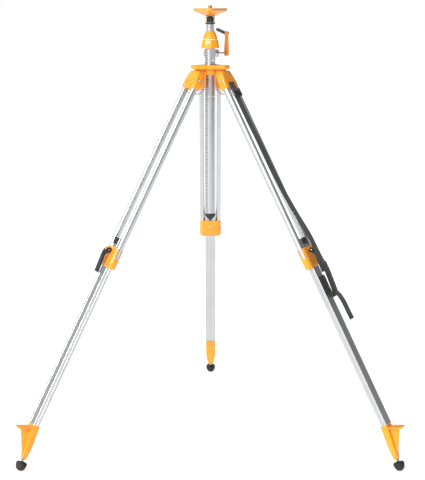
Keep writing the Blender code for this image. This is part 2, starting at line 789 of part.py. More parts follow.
def crank_arm(frame):
    """Tapered arm with a hub on the shaft and a slotted knuckle for the folding grip."""
    outline = arc((0.0, 0.0), 0.0125, 188, 352, 8)
    outline += [(0.0058, ARM_LENGTH - 0.004), (-0.0058, ARM_LENGTH - 0.004)]
    obj = solid("crank_arm", prism(outline, ARM_T - 0.0055, ARM_T + 0.0055, "YZ"))
    bevelled(obj, 0.0012, 1, 50.0)
    reach = (ARM_T - 0.0062, ARM_T + 0.0062)
    add(obj, cylinder(KNUCKLE_R, reach[0], reach[1], "X", (0.0, ARM_LENGTH), sides=20))
    cut(obj, cylinder(SHAFT_R + GAP, ARM_T - 0.03, ARM_T + 0.03, "X", sides=SMALL_ROUND))
    slot = box((-0.03, -0.0026, -0.0062), (0.03, 0.0026, 0.03))
    sideways = Vector((0.0, GRIP_DIRECTION.y, GRIP_DIRECTION.z)).normalized()
    turn = Matrix((Vector((1.0, 0.0, 0.0)), sideways.cross(Vector((1.0, 0.0, 0.0))), sideways)).transposed()
    place = Matrix.Translation((ARM_T, 0.0, ARM_LENGTH)) @ turn.to_4x4()
    bmesh.ops.transform(slot, verts=slot.verts, matrix=place)
    cut(obj, slot)
    bore_end = GRIP_PIN_REACH + GAP
    bore = cylinder(GRIP_PIN_R + GAP, -bore_end, bore_end + 0.01, "Y", sides=SMALL_ROUND)
    bmesh.ops.transform(bore, verts=bore.verts, matrix=place)
    cut(obj, bore)
    return put(obj, frame, "yellow_casting", smooth=35)


def crank_grip(frame):
    """Folding grip. Its frame's origin is the fold pin and it points along the frame's +X."""
    outline = arc((0.0, 0.0), 0.0055, 60, 300, 10)
    outline += [(GRIP_START + 0.004, -0.0040), (GRIP_START + 0.004, 0.0040)]
    obj = solid("crank_grip", prism(outline, -0.0022, 0.0022, "XZ"))
    add(obj, cylinder(GRIP_R, GRIP_START, GRIP_LENGTH, "X", sides=16))
    add(obj, cylinder(GRIP_PIN_R, -GRIP_PIN_REACH, GRIP_PIN_REACH, "Y", sides=SMALL_ROUND))
    return put(obj, frame, "black_plastic", smooth=35)


def crank():
    base = drive_point(0.0, SHAFT_OFFSET, SHAFT_Z)
    shaft = empty("crank_frame", TRIPOD, base, (0.0, 0.0, DRIVE_AZIMUTH))
    grip = empty("grip_frame", shaft, (ARM_T, 0.0, ARM_LENGTH), grip_axes().to_euler())
    crank_shaft(shaft)
    crank_arm(shaft)
    crank_grip(grip)


# ---- columns --------------------------------------------------------------------------------------
def outer_column():
    outer = oval(COLUMN_R, COLUMN_R, sides=ROUND)
    inner = oval(COLUMN_BORE_R, COLUMN_BORE_R, sides=ROUND)
    tube("outer_column", outer, inner, COLUMN_BOTTOM, COLUMN_TOP, TRIPOD, "bare_aluminium")


def column_rack():
    """Toothed strip down the back of the outer column, meshing with the pinion at rest."""
    root = RACK_PITCH_LINE - DEDENDUM
    tip = RACK_PITCH_LINE + ADDENDUM
    back = COLUMN_R + GAP
    middle_gap = round((SHAFT_Z - RACK_BOTTOM) / TOOTH_PITCH)
    first = SHAFT_Z - (middle_gap + 0.5) * TOOTH_PITCH
    outline = [(back, first - TOOTH_PITCH)]
    for tooth in range(RACK_TEETH):
        middle = first + tooth * TOOTH_PITCH
        for radius, offset in ((root, -0.0021), (tip, -0.0008), (tip, 0.0008), (root, 0.0021)):
            outline.append((radius, middle + offset))
    outline.append((back, first + RACK_TEETH * TOOTH_PITCH))
    bm = prism(outline, -RACK_HALF, RACK_HALF, "XZ")
    bmesh.ops.transform(bm, verts=bm.verts, matrix=Matrix.Rotation(DRIVE_AZIMUTH + math.pi / 2, 4, "Z"))
    return put(solid("column_rack", bm), TRIPOD, "bright_steel")


def column_end_cap():
    plug = COLUMN_BORE_R - GAP
    profile = [
        (0.0, COLUMN_BOTTOM + 0.025),
        (plug, COLUMN_BOTTOM + 0.025),
        (plug, COLUMN_BOTTOM - GAP),
        (COLUMN_R + 0.0006, COLUMN_BOTTOM - GAP),
        (COLUMN_R + 0.0006, COLUMN_BOTTOM - 0.0115),
        (0.0015, COLUMN_BOTTOM - 0.0325),
        (0.0, COLUMN_BOTTOM - 0.0330),
    ]
    turned("column_end_cap", profile, TRIPOD, "black_plastic")


def faceted_block(sides, levels):
    """A many-sided block through (radius, z) levels, lowest first, with a corner to the front right."""
    bm = bmesh.new()
    rings = []
    for radius, height in levels:
        turns = [math.radians(-82.0) + 2 * math.pi * i / sides for i in range(sides)]
        rings.append([bm.verts.new((radius * math.cos(a), radius * math.sin(a), height)) for a in turns])
    for low, high in zip(rings, rings[1:]):
        for i in range(sides):
            after = (i + 1) % sides
            bm.faces.new((low[i], low[after], high[after], high[i]))
    bm.faces.new(rings[0][::-1])
    bm.faces.new(rings[-1])
    return bm


def column_clamp():
    """Casting fixed on top of the outer column, with the collet's seat in it."""
    obj = solid("column_clamp", faceted_block(8, [(0.0385, HOUSING_TOP + GAP), (0.0335, CLAMP_RING_TOP)]))
    bevelled(obj, 0.0022, 1)
    cut(obj, cylinder(COLUMN_R + GAP, HOUSING_TOP - 0.01, COLUMN_TOP + GAP, sides=ROUND))
    cut(obj, cylinder(INNER_R + 0.0005, COLUMN_TOP, CLAMP_RING_TOP + 0.01, sides=ROUND))
    return put(obj, TRIPOD, "yellow_casting", smooth=25)


def collet_washer():
    profile = [
        (INNER_R + 0.0005, WASHER_TOP - GAP),
        (0.0300, WASHER_TOP - GAP),
        (0.0300, CLAMP_RING_TOP + GAP),
        (INNER_R + 0.0005, CLAMP_RING_TOP + GAP),
    ]
    turned("collet_washer", profile, TRIPOD, "cream_nylon")


def collet_nut():
    levels = [(0.0308, WASHER_TOP), (0.0298, WASHER_TOP + 0.0070), (0.0185, NUT_TOP)]
    obj = solid("collet_nut", faceted_block(10, levels))
    bevelled(obj, 0.0010, 1, 20.0)
    cut(obj, cylinder(INNER_R + 0.0005, WASHER_TOP - 0.01, NUT_TOP + 0.01, sides=ROUND))
    return put(obj, TRIPOD, "yellow_casting", smooth=20)


def inner_column():
    outer = oval(INNER_R, INNER_R, sides=ROUND)
    inner = oval(INNER_R - INNER_WALL, INNER_R - INNER_WALL, sides=ROUND)
    tube("inner_column", outer, inner, INNER_BOTTOM, INNER_TOP, TRIPOD, "bare_aluminium")


# ---- head -----------------------------------------------------------------------------------------
def head_collar():
    plug = INNER_R - INNER_WALL - GAP
    profile = [
        (0.0, INNER_TOP + 0.0055),
        (0.0205, INNER_TOP + 0.0055),
        (0.0205, INNER_TOP + GAP),
        (plug, INNER_TOP + GAP),
        (plug, INNER_TOP - 0.0200),
        (0.0, INNER_TOP - 0.0200),
    ]
    turned("head_collar", profile, TRIPOD, "black_plastic")


YOKE_BASE = INNER_TOP + 0.0055 + GAP
WHEEL_BOTTOM = YOKE_BASE + 0.0030


def head_yoke():
    """Open yoke between the collar and the head plate, with the thumb wheel inside it."""
    obj = solid("head_yoke", cylinder(0.0185, YOKE_BASE, PLATE_BOTTOM - GAP, sides=ROUND))
    cut(obj, box((-0.0158, -0.03, YOKE_BASE + 0.0025), (0.0158, 0.03, PLATE_BOTTOM + 0.01)))
    return put(obj, TRIPOD, "cream_nylon", smooth=35)


def thumb_wheel(frame):
    obj = solid("thumb_wheel", cylinder(0.0146, WHEEL_BOTTOM, PLATE_BOTTOM - 0.0012, sides=24))
    bevelled(obj, 0.0012, 1, 50.0)
    cut(obj, cylinder(STUD_R + GAP, WHEEL_BOTTOM - 0.01, PLATE_BOTTOM + 0.01, sides=SMALL_ROUND))
    put(obj, frame, "black_plastic", smooth=35)


def head_stud(frame):
    """Five-eighths inch stud that the instrument screws on to."""
    profile = [
        (0.0, STUD_TOP),
        (STUD_R - 0.001, STUD_TOP),
        (STUD_R, STUD_TOP - 0.001),
        (STUD_R, WHEEL_BOTTOM),
        (0.0, WHEEL_BOTTOM),
    ]
    turned("head_stud", profile, frame, "bright_steel", steps=24)


def head_plate():
    """Triangular seat with cut corners, and an underside that slopes in to the yoke."""
    outline = []
    for azimuth in (30.0, 150.0, 270.0):
        turn = math.radians(azimuth)
        corner = Vector((math.cos(turn), math.sin(turn))) * PLATE_CORNER_R
        for way in (-1, 1):
            across = Vector((-math.sin(turn), math.cos(turn))) * PLATE_CORNER_CUT * way
            outline.append(corner + across)
    bm = bmesh.new()
    top = bm.faces.new([bm.verts.new((p.x, p.y, PLATE_TOP)) for p in outline])
    levels = ((PLATE_EDGE, 1.0), (PLATE_BOTTOM, 0.27))
    face, height = top, PLATE_TOP
    for level, shrink in levels:
        made = bmesh.ops.extrude_face_region(bm, geom=[face])["geom"]
        verts = [item for item in made if isinstance(item, bmesh.types.BMVert)]
        if face is not top:
            bm.faces.remove(face)
        face = next(item for item in made if isinstance(item, bmesh.types.BMFace))
        bmesh.ops.translate(bm, verts=verts, vec=(0.0, 0.0, level - height))
        bmesh.ops.scale(bm, verts=verts, vec=(shrink, shrink, 1.0))
        height = level
    obj = solid("head_plate", bm)
    bevelled(obj, 0.0015, 1, 20.0)
    cut(obj, cylinder(STUD_R + 0.0004, PLATE_BOTTOM - 0.01, PLATE_TOP + 0.01, sides=24))
    return put(obj, TRIPOD, "yellow_casting", smooth=25)


def head():
    wheel = empty("wheel_frame", TRIPOD, (0.0, 0.0, 0.0))
    head_collar()
    head_yoke()
    thumb_wheel(wheel)
    head_stud(wheel)
    head_plate()


# ---- spreader chains ------------------------------------------------------------------------------
CHAIN_R = 0.0020
CHAIN_SAG = 0.0140
CHAIN_STEPS = 10


def chain_anchor(side, across):
    """Where a chain hangs under a bracket, in the tripod's frame."""
    turn = Euler((0.0, -SPLAY, math.radians(LEG_AZIMUTH[side]))).to_matrix()
    azimuth = math.radians(LEG_AZIMUTH[side])
    pivot = Vector((PIVOT_RADIUS * math.cos(azimuth), PIVOT_RADIUS * math.sin(azimuth), PIVOT_Z))
    return pivot + turn @ Vector((-0.0120, across, BRACKET_BOTTOM - CHAIN_R - GAP))


def spreader_chain(name, first, second):
    start = chain_anchor(first, 0.0260)
    end = chain_anchor(second, -0.0260)
    curve = bpy.data.curves.new(name, "CURVE")
    curve.dimensions = "3D"
    curve.bevel_depth = CHAIN_R
    curve.bevel_resolution = 0
    curve.use_fill_caps = True
    spline = curve.splines.new("POLY")
    spline.points.add(CHAIN_STEPS)
    for i, point in enumerate(spline.points):
        share = i / CHAIN_STEPS
        place = start.lerp(end, share)
        place.z -= CHAIN_SAG * 4 * share * (1 - share)
        point.co = (place.x, place.y, place.z, 1.0)
    obj = bpy.data.objects.new(name, curve)
    PARTS.objects.link(obj)
    put(obj, TRIPOD, "bright_steel")


def build():
    for side in LEG_AZIMUTH:
        frame = leg(side)
        if side == "right":
            strap(frame)
    hub()
    gearbox_housing()
    bearing_cover()
    crank()
    outer_column()
    column_rack()
    column_end_cap()
    column_clamp()
    collet_washer()
    collet_nut()
    inner_column()
    head()
    spreader_chain("spreader_chain_front", "left", "right")
    spreader_chain("spreader_chain_right", "right", "rear")
    spreader_chain("spreader_chain_left", "rear", "left")


clear_scene()
PARTS = make_collection("laser_tripod")
CUTTERS = make_collection("cutters")
TRIPOD = empty("tripod_axis", None, (0.0, AXIS_Y, 0.0))
build()
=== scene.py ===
"""Looks for the elevating tripod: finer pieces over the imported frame, their materials, and the studio."""

import json
import math

import bmesh
import bpy
from mathutils import Euler, Matrix, Vector


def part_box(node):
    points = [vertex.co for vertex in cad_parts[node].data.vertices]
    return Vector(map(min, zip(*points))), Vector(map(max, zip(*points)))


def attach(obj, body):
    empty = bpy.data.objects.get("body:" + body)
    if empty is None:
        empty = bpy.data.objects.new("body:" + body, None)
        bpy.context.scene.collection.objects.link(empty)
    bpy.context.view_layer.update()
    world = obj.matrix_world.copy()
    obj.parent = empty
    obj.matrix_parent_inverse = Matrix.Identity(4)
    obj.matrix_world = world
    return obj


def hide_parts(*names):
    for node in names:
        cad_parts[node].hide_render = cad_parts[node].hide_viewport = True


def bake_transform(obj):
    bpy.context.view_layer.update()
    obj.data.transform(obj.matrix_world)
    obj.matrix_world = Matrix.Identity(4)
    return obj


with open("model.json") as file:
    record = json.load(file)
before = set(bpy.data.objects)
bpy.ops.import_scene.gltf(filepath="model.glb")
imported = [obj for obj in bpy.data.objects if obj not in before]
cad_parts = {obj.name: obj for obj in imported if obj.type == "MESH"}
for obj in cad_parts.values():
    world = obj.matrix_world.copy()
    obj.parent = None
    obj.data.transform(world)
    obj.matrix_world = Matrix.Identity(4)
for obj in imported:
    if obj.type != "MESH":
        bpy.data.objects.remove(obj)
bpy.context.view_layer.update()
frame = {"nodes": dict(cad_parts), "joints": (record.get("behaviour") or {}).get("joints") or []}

JOINTS = {joint["name"]: joint for joint in frame["joints"]}
SIDES = ("rear", "left", "right")
BOTH = (-1, 1)


# ---- places taken from the frame ----
def centre_of(node):
    low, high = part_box(node)
    return (Vector(low) + Vector(high)) / 2


def frame_at(origin, x, y, z):
    """A frame from its origin and its three axes."""
    turned_axes = Matrix((x, y, z)).transposed().to_4x4()
    return Matrix.Translation(origin) @ turned_axes


def leg_frame(side):
    """Leg frame: origin on the fold hinge, x out of the leg's face, y across it and z up along it."""
    fold = JOINTS["leg_fold_" + side]
    across = Vector(fold["axis"]).normalized()
    along = Vector(JOINTS["leg_slide_" + side]["axis"]).normalized()
    return frame_at(Vector(fold["pos_m"]), across.cross(along), across, along)


def at(x, y, z):
    return Matrix.Translation((x, y, z))


def spin(degrees, axis="Z"):
    return Matrix.Rotation(math.radians(degrees), 4, axis)


LEG = {side: leg_frame(side) for side in SIDES}
AXIS = Vector((centre_of("inner_column").x, centre_of("inner_column").y, 0.0))
COLUMN = Matrix.Translation(AXIS)
SHAFT = Vector(JOINTS["crank_turn"]["pos_m"])
SHAFT_WAY = Vector(JOINTS["crank_turn"]["axis"]).normalized()
UP = Vector((0.0, 0.0, 1.0))
CRANK = frame_at(SHAFT, SHAFT_WAY, UP.cross(SHAFT_WAY), UP)
SPLAY = math.acos(LEG["rear"].col[2].z)

# Sizes in metres. Those of the legs are in the leg's frame, and the others are heights above the floor.
GAP = 0.0003
HINGE_Z = 1.530
PIVOT_R = 0.0775
LEG_AZIMUTHS = (90.0, 210.0, 330.0)
TUBE_Y = 0.0370
TUBE_HALF = (0.0140, 0.01075)
TUBE_WALL = 0.0018
BRACKET_INNER, BRACKET_OUTER = -0.0190, 0.0165
CLAMP_TOP = -0.7547
CLAMP_SPLIT = -0.7960
CLAMP_BOTTOM = -0.8427
CLAMP_HALF = (0.0180, 0.0490)
LEVER = Vector((0.0300, 0.0, -0.7755))
LEVER_EYE_R = 0.0112
PIN_ROOM_R = 0.0033
LOWER_TOP = -0.7180
LOWER_BOTTOM = -1.5340
LOWER_HALF = (0.0135, 0.0240)
BALL_X, BALL_R = -0.0241, 0.0225
TREAD_RISE = 10.0
HUB_PLATE = (1.5760, 1.5917)
HOUSING_TOP = 1.6590
HOUSING_R = 0.0380
FLANGE_TOP = 1.6100
DRIVE_TURN = 30.0
RACK_TURN = 120.0
CASE_END = 0.0520
SHAFT_OFFSET = 0.0380
SHAFT_Z = 1.6365
SHAFT_ROOM_R = 0.0053
ARM_T = 0.1005
ARM_LENGTH = 0.0800
PLATE_TOP = 1.8200
INNER_R = 0.0155
COLUMN_R = 0.0220
COLUMN_ROOM_R = COLUMN_R + 0.0005


# ---- materials ----
def blank_material(name, colour, metallic, roughness):
    made = bpy.data.materials.new(name)
    made.use_nodes = True
    shader = made.node_tree.nodes["Principled BSDF"]
    shader.inputs["Base Color"].default_value = (*colour, 1.0)
    shader.inputs["Metallic"].default_value = metallic
    shader.inputs["Roughness"].default_value = roughness
    return made, made.node_tree, shader


def node(tree, kind, **values):
    """A new node, with values for its sockets or, where no socket has that name, its settings."""
    made = tree.nodes.new(kind)
    for key, value in values.items():
        if key in made.inputs:
            made.inputs[key].default_value = value
        else:
            setattr(made, key, value)
    return made


def object_place(tree):
    return node(tree, "ShaderNodeTexCoord").outputs["Object"]


def noise(tree, scale, detail=3.0, stretch=(1.0, 1.0, 1.0)):
    made = node(tree, "ShaderNodeTexNoise", Scale=scale, Detail=detail)
    mapping = node(tree, "ShaderNodeMapping", Scale=stretch)
    tree.links.new(object_place(tree), mapping.inputs["Vector"])
    tree.links.new(mapping.outputs["Vector"], made.inputs["Vector"])
    return made.outputs["Fac"]


def spread(tree, source, low, high, from_low=0.3, from_high=0.7):
    """A texture's value between from_low and from_high turned into a number between low and high."""
    limits = {"From Min": from_low, "From Max": from_high, "To Min": low, "To Max": high}
    made = node(tree, "ShaderNodeMapRange", **limits)
    tree.links.new(source, made.inputs["Value"])
    return made.outputs["Result"]


def blend_colours(tree, factor, first, second):
    """Mixes two colours. The first is a colour or another node's output."""
    made = node(tree, "ShaderNodeMix", data_type="RGBA")
    share, start, end = made.inputs[0], made.inputs[6], made.inputs[7]
    if isinstance(first, tuple):
        start.default_value = (*first, 1.0)
    else:
        tree.links.new(first, start)
    end.default_value = (*second, 1.0)
    tree.links.new(factor, share)
    return made.outputs[2]


def bump(tree, shader, height, strength, distance):
    made = node(tree, "ShaderNodeBump", Strength=strength, Distance=distance)
    tree.links.new(height, made.inputs["Height"])
    tree.links.new(made.outputs["Normal"], shader.inputs["Normal"])


def calculate(tree, operation, first, second):
    made = node(tree, "ShaderNodeMath", operation=operation)
    for socket, value in zip(made.inputs, (first, second)):
        if isinstance(value, (int, float)):
            socket.default_value = value
        else:
            tree.links.new(value, socket)
    return made.outputs[0]


def times(tree, first, second):
    return calculate(tree, "MULTIPLY", first, second)


def plus(tree, first, second):
    return calculate(tree, "ADD", first, second)


def worn_edges(tree):
    """1 on edges, where a rounded normal leaves the face's own, and 0 elsewhere, broken up by noise."""
    rounder = node(tree, "ShaderNodeBevel", samples=4, Radius=0.0022)
    flat = node(tree, "ShaderNodeNewGeometry")
    alike = node(tree, "ShaderNodeVectorMath", operation="DOT_PRODUCT")
    tree.links.new(rounder.outputs["Normal"], alike.inputs[0])
    tree.links.new(flat.outputs["Normal"], alike.inputs[1])
    apart = calculate(tree, "SUBTRACT", 1.0, alike.outputs["Value"])
    edge = spread(tree, apart, 0.0, 1.0, 0.02, 0.14)
    broken = spread(tree, noise(tree, 160.0, 5.0), 0.0, 1.0, 0.42, 0.62)
    return times(tree, edge, broken)


def paint(name, base, deeper, scuffed):
    """Powder-coated casting: mottled a little, with a fine orange-peel skin and scuffed edges."""
    made, tree, shader = blank_material(name, base, 0.0, 0.38)
    mottle = spread(tree, noise(tree, 22.0, 4.0), 0.0, 1.0, 0.35, 0.68)
    colour = blend_colours(tree, mottle, base, deeper)
    colour = blend_colours(tree, times(tree, worn_edges(tree), 0.30), colour, scuffed)
    tree.links.new(colour, shader.inputs["Base Color"])
    tree.links.new(spread(tree, noise(tree, 60.0, 4.0), 0.30, 0.46), shader.inputs["Roughness"])
    skin = plus(tree, noise(tree, 900.0, 2.0), times(tree, noise(tree, 130.0, 3.0), 0.6))
    bump(tree, shader, skin, 0.22, 0.0004)
    shader.inputs["Coat Weight"].default_value = 0.25
    shader.inputs["Coat Roughness"].default_value = 0.18
    return made


def metal(name, base, darker, roughness, stretch):
    """Drawn or turned metal with fine lines along one direction."""
    made, tree, shader = blank_material(name, base, 1.0, roughness[0])
    lines = noise(tree, 1.0, 3.0, stretch)
    cloud = noise(tree, 9.0, 3.0)
    tone = spread(tree, plus(tree, lines, times(tree, cloud, 0.5)), 0.0, 1.0, 0.5, 1.0)
    tree.links.new(blend_colours(tree, tone, base, darker), shader.inputs["Base Color"])
    tree.links.new(spread(tree, lines, *roughness), shader.inputs["Roughness"])
    bump(tree, shader, lines, 0.05, 0.0002)
    return made


def plastic(name, base, lighter, roughness, grain, strength=0.2):
    """Moulded plastic or rubber: a fine grain, with dust in patches."""
    made, tree, shader = blank_material(name, base, 0.0, roughness[0])
    dust = spread(tree, noise(tree, 35.0, 5.0), 0.0, 1.0, 0.45, 0.75)
    tree.links.new(blend_colours(tree, dust, base, lighter), shader.inputs["Base Color"])
    tree.links.new(spread(tree, noise(tree, 50.0, 4.0), *roughness), shader.inputs["Roughness"])
    bump(tree, shader, noise(tree, grain, 3.0), strength, 0.0004)
    return made


def webbing(name, base, lighter, thread_width):
    """Woven nylon: ribs across the strap crossed by the lengthwise yarns."""
    made, tree, shader = blank_material(name, base, 0.0, 0.85)
    here = object_place(tree)
    waves = []
    for direction, per_thread in (("Y", 1.0), ("Z", 0.55)):
        scale = per_thread / thread_width / math.pi
        wave = node(tree, "ShaderNodeTexWave", Scale=scale, Distortion=0.6, Detail=1.0)
        wave.inputs["Detail Scale"].default_value = 60.0
        wave.bands_direction = direction
        tree.links.new(here, wave.inputs["Vector"])
        waves.append(wave.outputs["Fac"])
    weave = times(tree, *waves)
    fuzz = noise(tree, 420.0, 4.0)
    tone = spread(tree, plus(tree, weave, times(tree, fuzz, 0.6)), 0.0, 1.0, 0.15, 1.1)
    tree.links.new(blend_colours(tree, tone, base, lighter), shader.inputs["Base Color"])
    bump(tree, shader, plus(tree, weave, times(tree, fuzz, 0.35)), 0.55, 0.0006)
    shader.inputs["Sheen Weight"].default_value = 0.25
    shader.inputs["Sheen Roughness"].default_value = 0.45
    return made


def graduated(name):
    """The column's tube: drawn aluminium with a printed scale of short and long lines down one side."""
    made = metal(name, (0.62, 0.63, 0.65), (0.50, 0.51, 0.53), (0.30, 0.40), (220.0, 220.0, 1.2))
    tree = made.node_tree
    colour = tree.nodes["Principled BSDF"].inputs["Base Color"]
    split = node(tree, "ShaderNodeSeparateXYZ")
    tree.links.new(object_place(tree), split.inputs[0])
    x, y, z = split.outputs
    tens = calculate(tree, "FRACT", calculate(tree, "DIVIDE", z, 0.01), 0.0)
    line = calculate(tree, "LESS_THAN", tens, 0.24)
    fifties = calculate(tree, "FRACT", calculate(tree, "DIVIDE", z, 0.05), 0.0)
    long_line = calculate(tree, "LESS_THAN", fifties, 0.048)
    angle = calculate(tree, "ARCTAN2", x, y)
    end = plus(tree, times(tree, long_line, 0.25), -2.05)
    after_start = calculate(tree, "GREATER_THAN", angle, -2.66)
    printed = times(tree, line, times(tree, after_start, calculate(tree, "LESS_THAN", angle, end)))
    bare = colour.links[0].from_socket
    tree.links.new(blend_colours(tree, times(tree, printed, 0.75), bare, (0.03, 0.03, 0.035)), colour)
    return made


TURNED = (300.0, 300.0, 90.0)
YELLOW = paint("yellow_coat", (0.94, 0.350, 0.008), (0.90, 0.305, 0.006), (0.98, 0.70, 0.22))
ALUMINIUM = metal(
    "drawn_aluminium", (0.64, 0.655, 0.67), (0.52, 0.53, 0.55), (0.32, 0.42), (160.0, 160.0, 1.2)
)
SCALE = graduated("graduated_aluminium")
BRASS = metal("brass", (0.80, 0.62, 0.36), (0.58, 0.42, 0.22), (0.22, 0.36), TURNED)
STEEL = metal("zinc_steel", (0.74, 0.74, 0.72), (0.50, 0.50, 0.49), (0.18, 0.34), TURNED)
CHAIN = metal("chain_steel", (0.72, 0.70, 0.66), (0.45, 0.44, 0.42), (0.20, 0.40), (120.0, 120.0, 120.0))
BLACK = plastic("black_nylon", (0.012, 0.012, 0.013), (0.030, 0.030, 0.032), (0.32, 0.50), 700.0)
RUBBER = plastic("black_rubber", (0.010, 0.010, 0.010), (0.032, 0.030, 0.028), (0.55, 0.80), 420.0, 0.35)
TAN = plastic("tan_nylon", (0.50, 0.34, 0.18), (0.40, 0.26, 0.13), (0.35, 0.50), 500.0)
CREAM = plastic("cream_nylon", (0.80, 0.74, 0.60), (0.70, 0.62, 0.46), (0.35, 0.50), 500.0)
WEB = webbing("black_webbing", (0.006, 0.006, 0.007), (0.030, 0.030, 0.033), 0.0022)
PADDING = webbing("pad_cover", (0.007, 0.007, 0.008), (0.026, 0.026, 0.028), 0.0012)
THREAD = plastic("grey_thread", (0.05, 0.05, 0.055), (0.12, 0.12, 0.13), (0.6, 0.8), 900.0)
DIRECTIONAL = (ALUMINIUM, SCALE, WEB, PADDING)


# ---- shapes ----
def box(low, high):
    bm = bmesh.new()
    low, high = Vector(low), Vector(high)
    matrix = Matrix.Translation((low + high) / 2) @ Matrix.Diagonal((*(high - low), 1.0))
    bmesh.ops.create_cube(bm, size=1.0, matrix=matrix)
    return bm


AXIS_TURN = {
    "X": Euler((0.0, math.pi / 2, 0.0)),
    "Y": Euler((-math.pi / 2, 0.0, 0.0)),
    "Z": Euler((0.0, 0.0, 0.0)),
}


def cylinder(radius, start, end, axis="Z", centre=(0.0, 0.0), sides=48):
    middle = (start + end) / 2
    spot = {
        "X": (middle, centre[0], centre[1]),
        "Y": (centre[0], middle, centre[1]),
        "Z": (centre[0], centre[1], middle),
    }[axis]
    matrix = Matrix.Translation(spot) @ AXIS_TURN[axis].to_matrix().to_4x4()
    round_size = {"segments": sides, "radius1": radius, "radius2": radius, "depth": end - start}
    bm = bmesh.new()
    bmesh.ops.create_cone(bm, cap_ends=True, matrix=matrix, **round_size)
    return bm


PLANES = {
    "XY": Matrix(((1, 0, 0), (0, 1, 0), (0, 0, 1))),
    "XZ": Matrix(((1, 0, 0), (0, 0, -1), (0, 1, 0))),
    "YZ": Matrix(((0, 0, 1), (1, 0, 0), (0, 1, 0))),
}


def stacked(sections):
    """A closed body through sections, each a list of the same number of 3-D points."""
    bm = bmesh.new()
    rings = [[bm.verts.new(point) for point in section] for section in sections]
    count = len(rings[0])
    for low, high in zip(rings, rings[1:]):
        for i in range(count):
            after = (i + 1) % count
            bm.faces.new((low[i], low[after], high[after], high[i]))
    bm.faces.new(rings[0][::-1])
    bm.faces.new(rings[-1])
    bmesh.ops.recalc_face_normals(bm, faces=bm.faces)
    return bm


def prism(outline, low, high, plane="XY"):
    """An outline drawn in a plane, pushed from low to high across it."""
    bm = bmesh.new()
    bottom = [bm.verts.new((u, v, low)) for u, v in outline]
    top = [bm.verts.new((u, v, high)) for u, v in outline]
    bm.faces.new(bottom[::-1])
    bm.faces.new(top)
    for i in range(len(outline)):
        after = (i + 1) % len(outline)
        bm.faces.new((bottom[i], bottom[after], top[after], top[i]))
    bmesh.ops.transform(bm, verts=bm.verts, matrix=PLANES[plane].to_4x4())
    bmesh.ops.recalc_face_normals(bm, faces=bm.faces)
    return bm


def lathe(profile, sides=64):
    """A turned body from (radius, z) points. It closes round its bore, or at its ends on the axis."""
    bm = bmesh.new()
    turns = [2 * math.pi * i / sides for i in range(sides)]
    rings = []
    for radius, z in profile:
        angles = turns if radius else (0.0,)
        rings.append([bm.verts.new((radius * math.cos(a), radius * math.sin(a), z)) for a in angles])
    pairs = list(zip(rings, rings[1:]))
    if profile[0][0] > 0.0:
        pairs.append((rings[-1], rings[0]))
    for first, second in pairs:
        for i in range(sides):
            after = (i + 1) % sides
            corners = [first[i % len(first)], first[after % len(first)]]
            corners += [second[after % len(second)], second[i % len(second)]]
            unique = list(dict.fromkeys(corners))
            if len(unique) > 2:
                bm.faces.new(unique)
    bmesh.ops.recalc_face_normals(bm, faces=bm.faces)
    return bm


def groove(inner, outer, low, high, sides=80):
    """A square ring, to cut a groove with."""
    return lathe([(inner, low), (outer, low), (outer, high), (inner, high)], sides)


def arc(centre, radius, start, end, steps):
    angles = [math.radians(start + (end - start) * i / steps) for i in range(steps + 1)]
    return [(centre[0] + radius * math.cos(a), centre[1] + radius * math.sin(a)) for a in angles]


def oval(half_u, half_v, centre=(0.0, 0.0), sides=48):
    turns = [2 * math.pi * i / sides for i in range(sides)]
    return [(centre[0] + half_u * math.cos(a), centre[1] + half_v * math.sin(a)) for a in turns]


def stadium(half_u, half_v, steps=14):
    straight = half_u - half_v
    return arc((straight, 0.0), half_v, -90, 90, steps) + arc((-straight, 0.0), half_v, 90, 270, steps)


def rounded(outline, radius, steps=4):
    """The outline with each corner rounded by up to that radius."""
    points = []
    for i, corner in enumerate(outline):
        corner = Vector(corner)
        before = Vector(outline[i - 1]) - corner
        after = Vector(outline[(i + 1) % len(outline)]) - corner
        reach = min(radius / math.tan(before.angle(after) / 2), before.length * 0.45, after.length * 0.45)
        start = corner + before.normalized() * reach
        end = corner + after.normalized() * reach
        for step in range(steps + 1):
            share = step / steps
            points.append(tuple(start.lerp(corner, share).lerp(corner.lerp(end, share), share)))
    return points


def rectangle(low, high, radius, steps=5):
    return rounded([low, (high[0], low[1]), high, (low[0], high[1])], radius, steps)


def solid(name, bm):
    bmesh.ops.recalc_face_normals(bm, faces=bm.faces)
    mesh = bpy.data.meshes.new(name)
    bm.to_mesh(mesh)
    bm.free()
    return linked(name, mesh)


def linked(name, data):
    obj = bpy.data.objects.new(name, data)
    bpy.context.scene.collection.objects.link(obj)
    return obj


def settle(obj):
    """Applies the object's modifiers."""
    bpy.context.view_layer.update()
    graph = bpy.context.evaluated_depsgraph_get()
    made = bpy.data.meshes.new_from_object(obj.evaluated_get(graph))
    old = obj.data
    obj.modifiers.clear()
    obj.data = made
    bpy.data.meshes.remove(old)


def join(obj, bm, operation):
    other = solid("tool", bm)
    step = obj.modifiers.new("step", "BOOLEAN")
    step.operation = operation
    step.solver = "EXACT"
    step.object = other
    settle(obj)
    bpy.data.objects.remove(other, do_unlink=True)


def add(obj, bm):
    join(obj, bm, "UNION")


def cut(obj, bm):
    join(obj, bm, "DIFFERENCE")


def moved(bm, matrix):
    bmesh.ops.transform(bm, verts=bm.verts, matrix=matrix)
    return bm


def smooth(obj, angle=40.0):
    obj.data.shade_smooth()
    obj.data.set_sharp_from_angle(angle=math.radians(angle))
    return obj


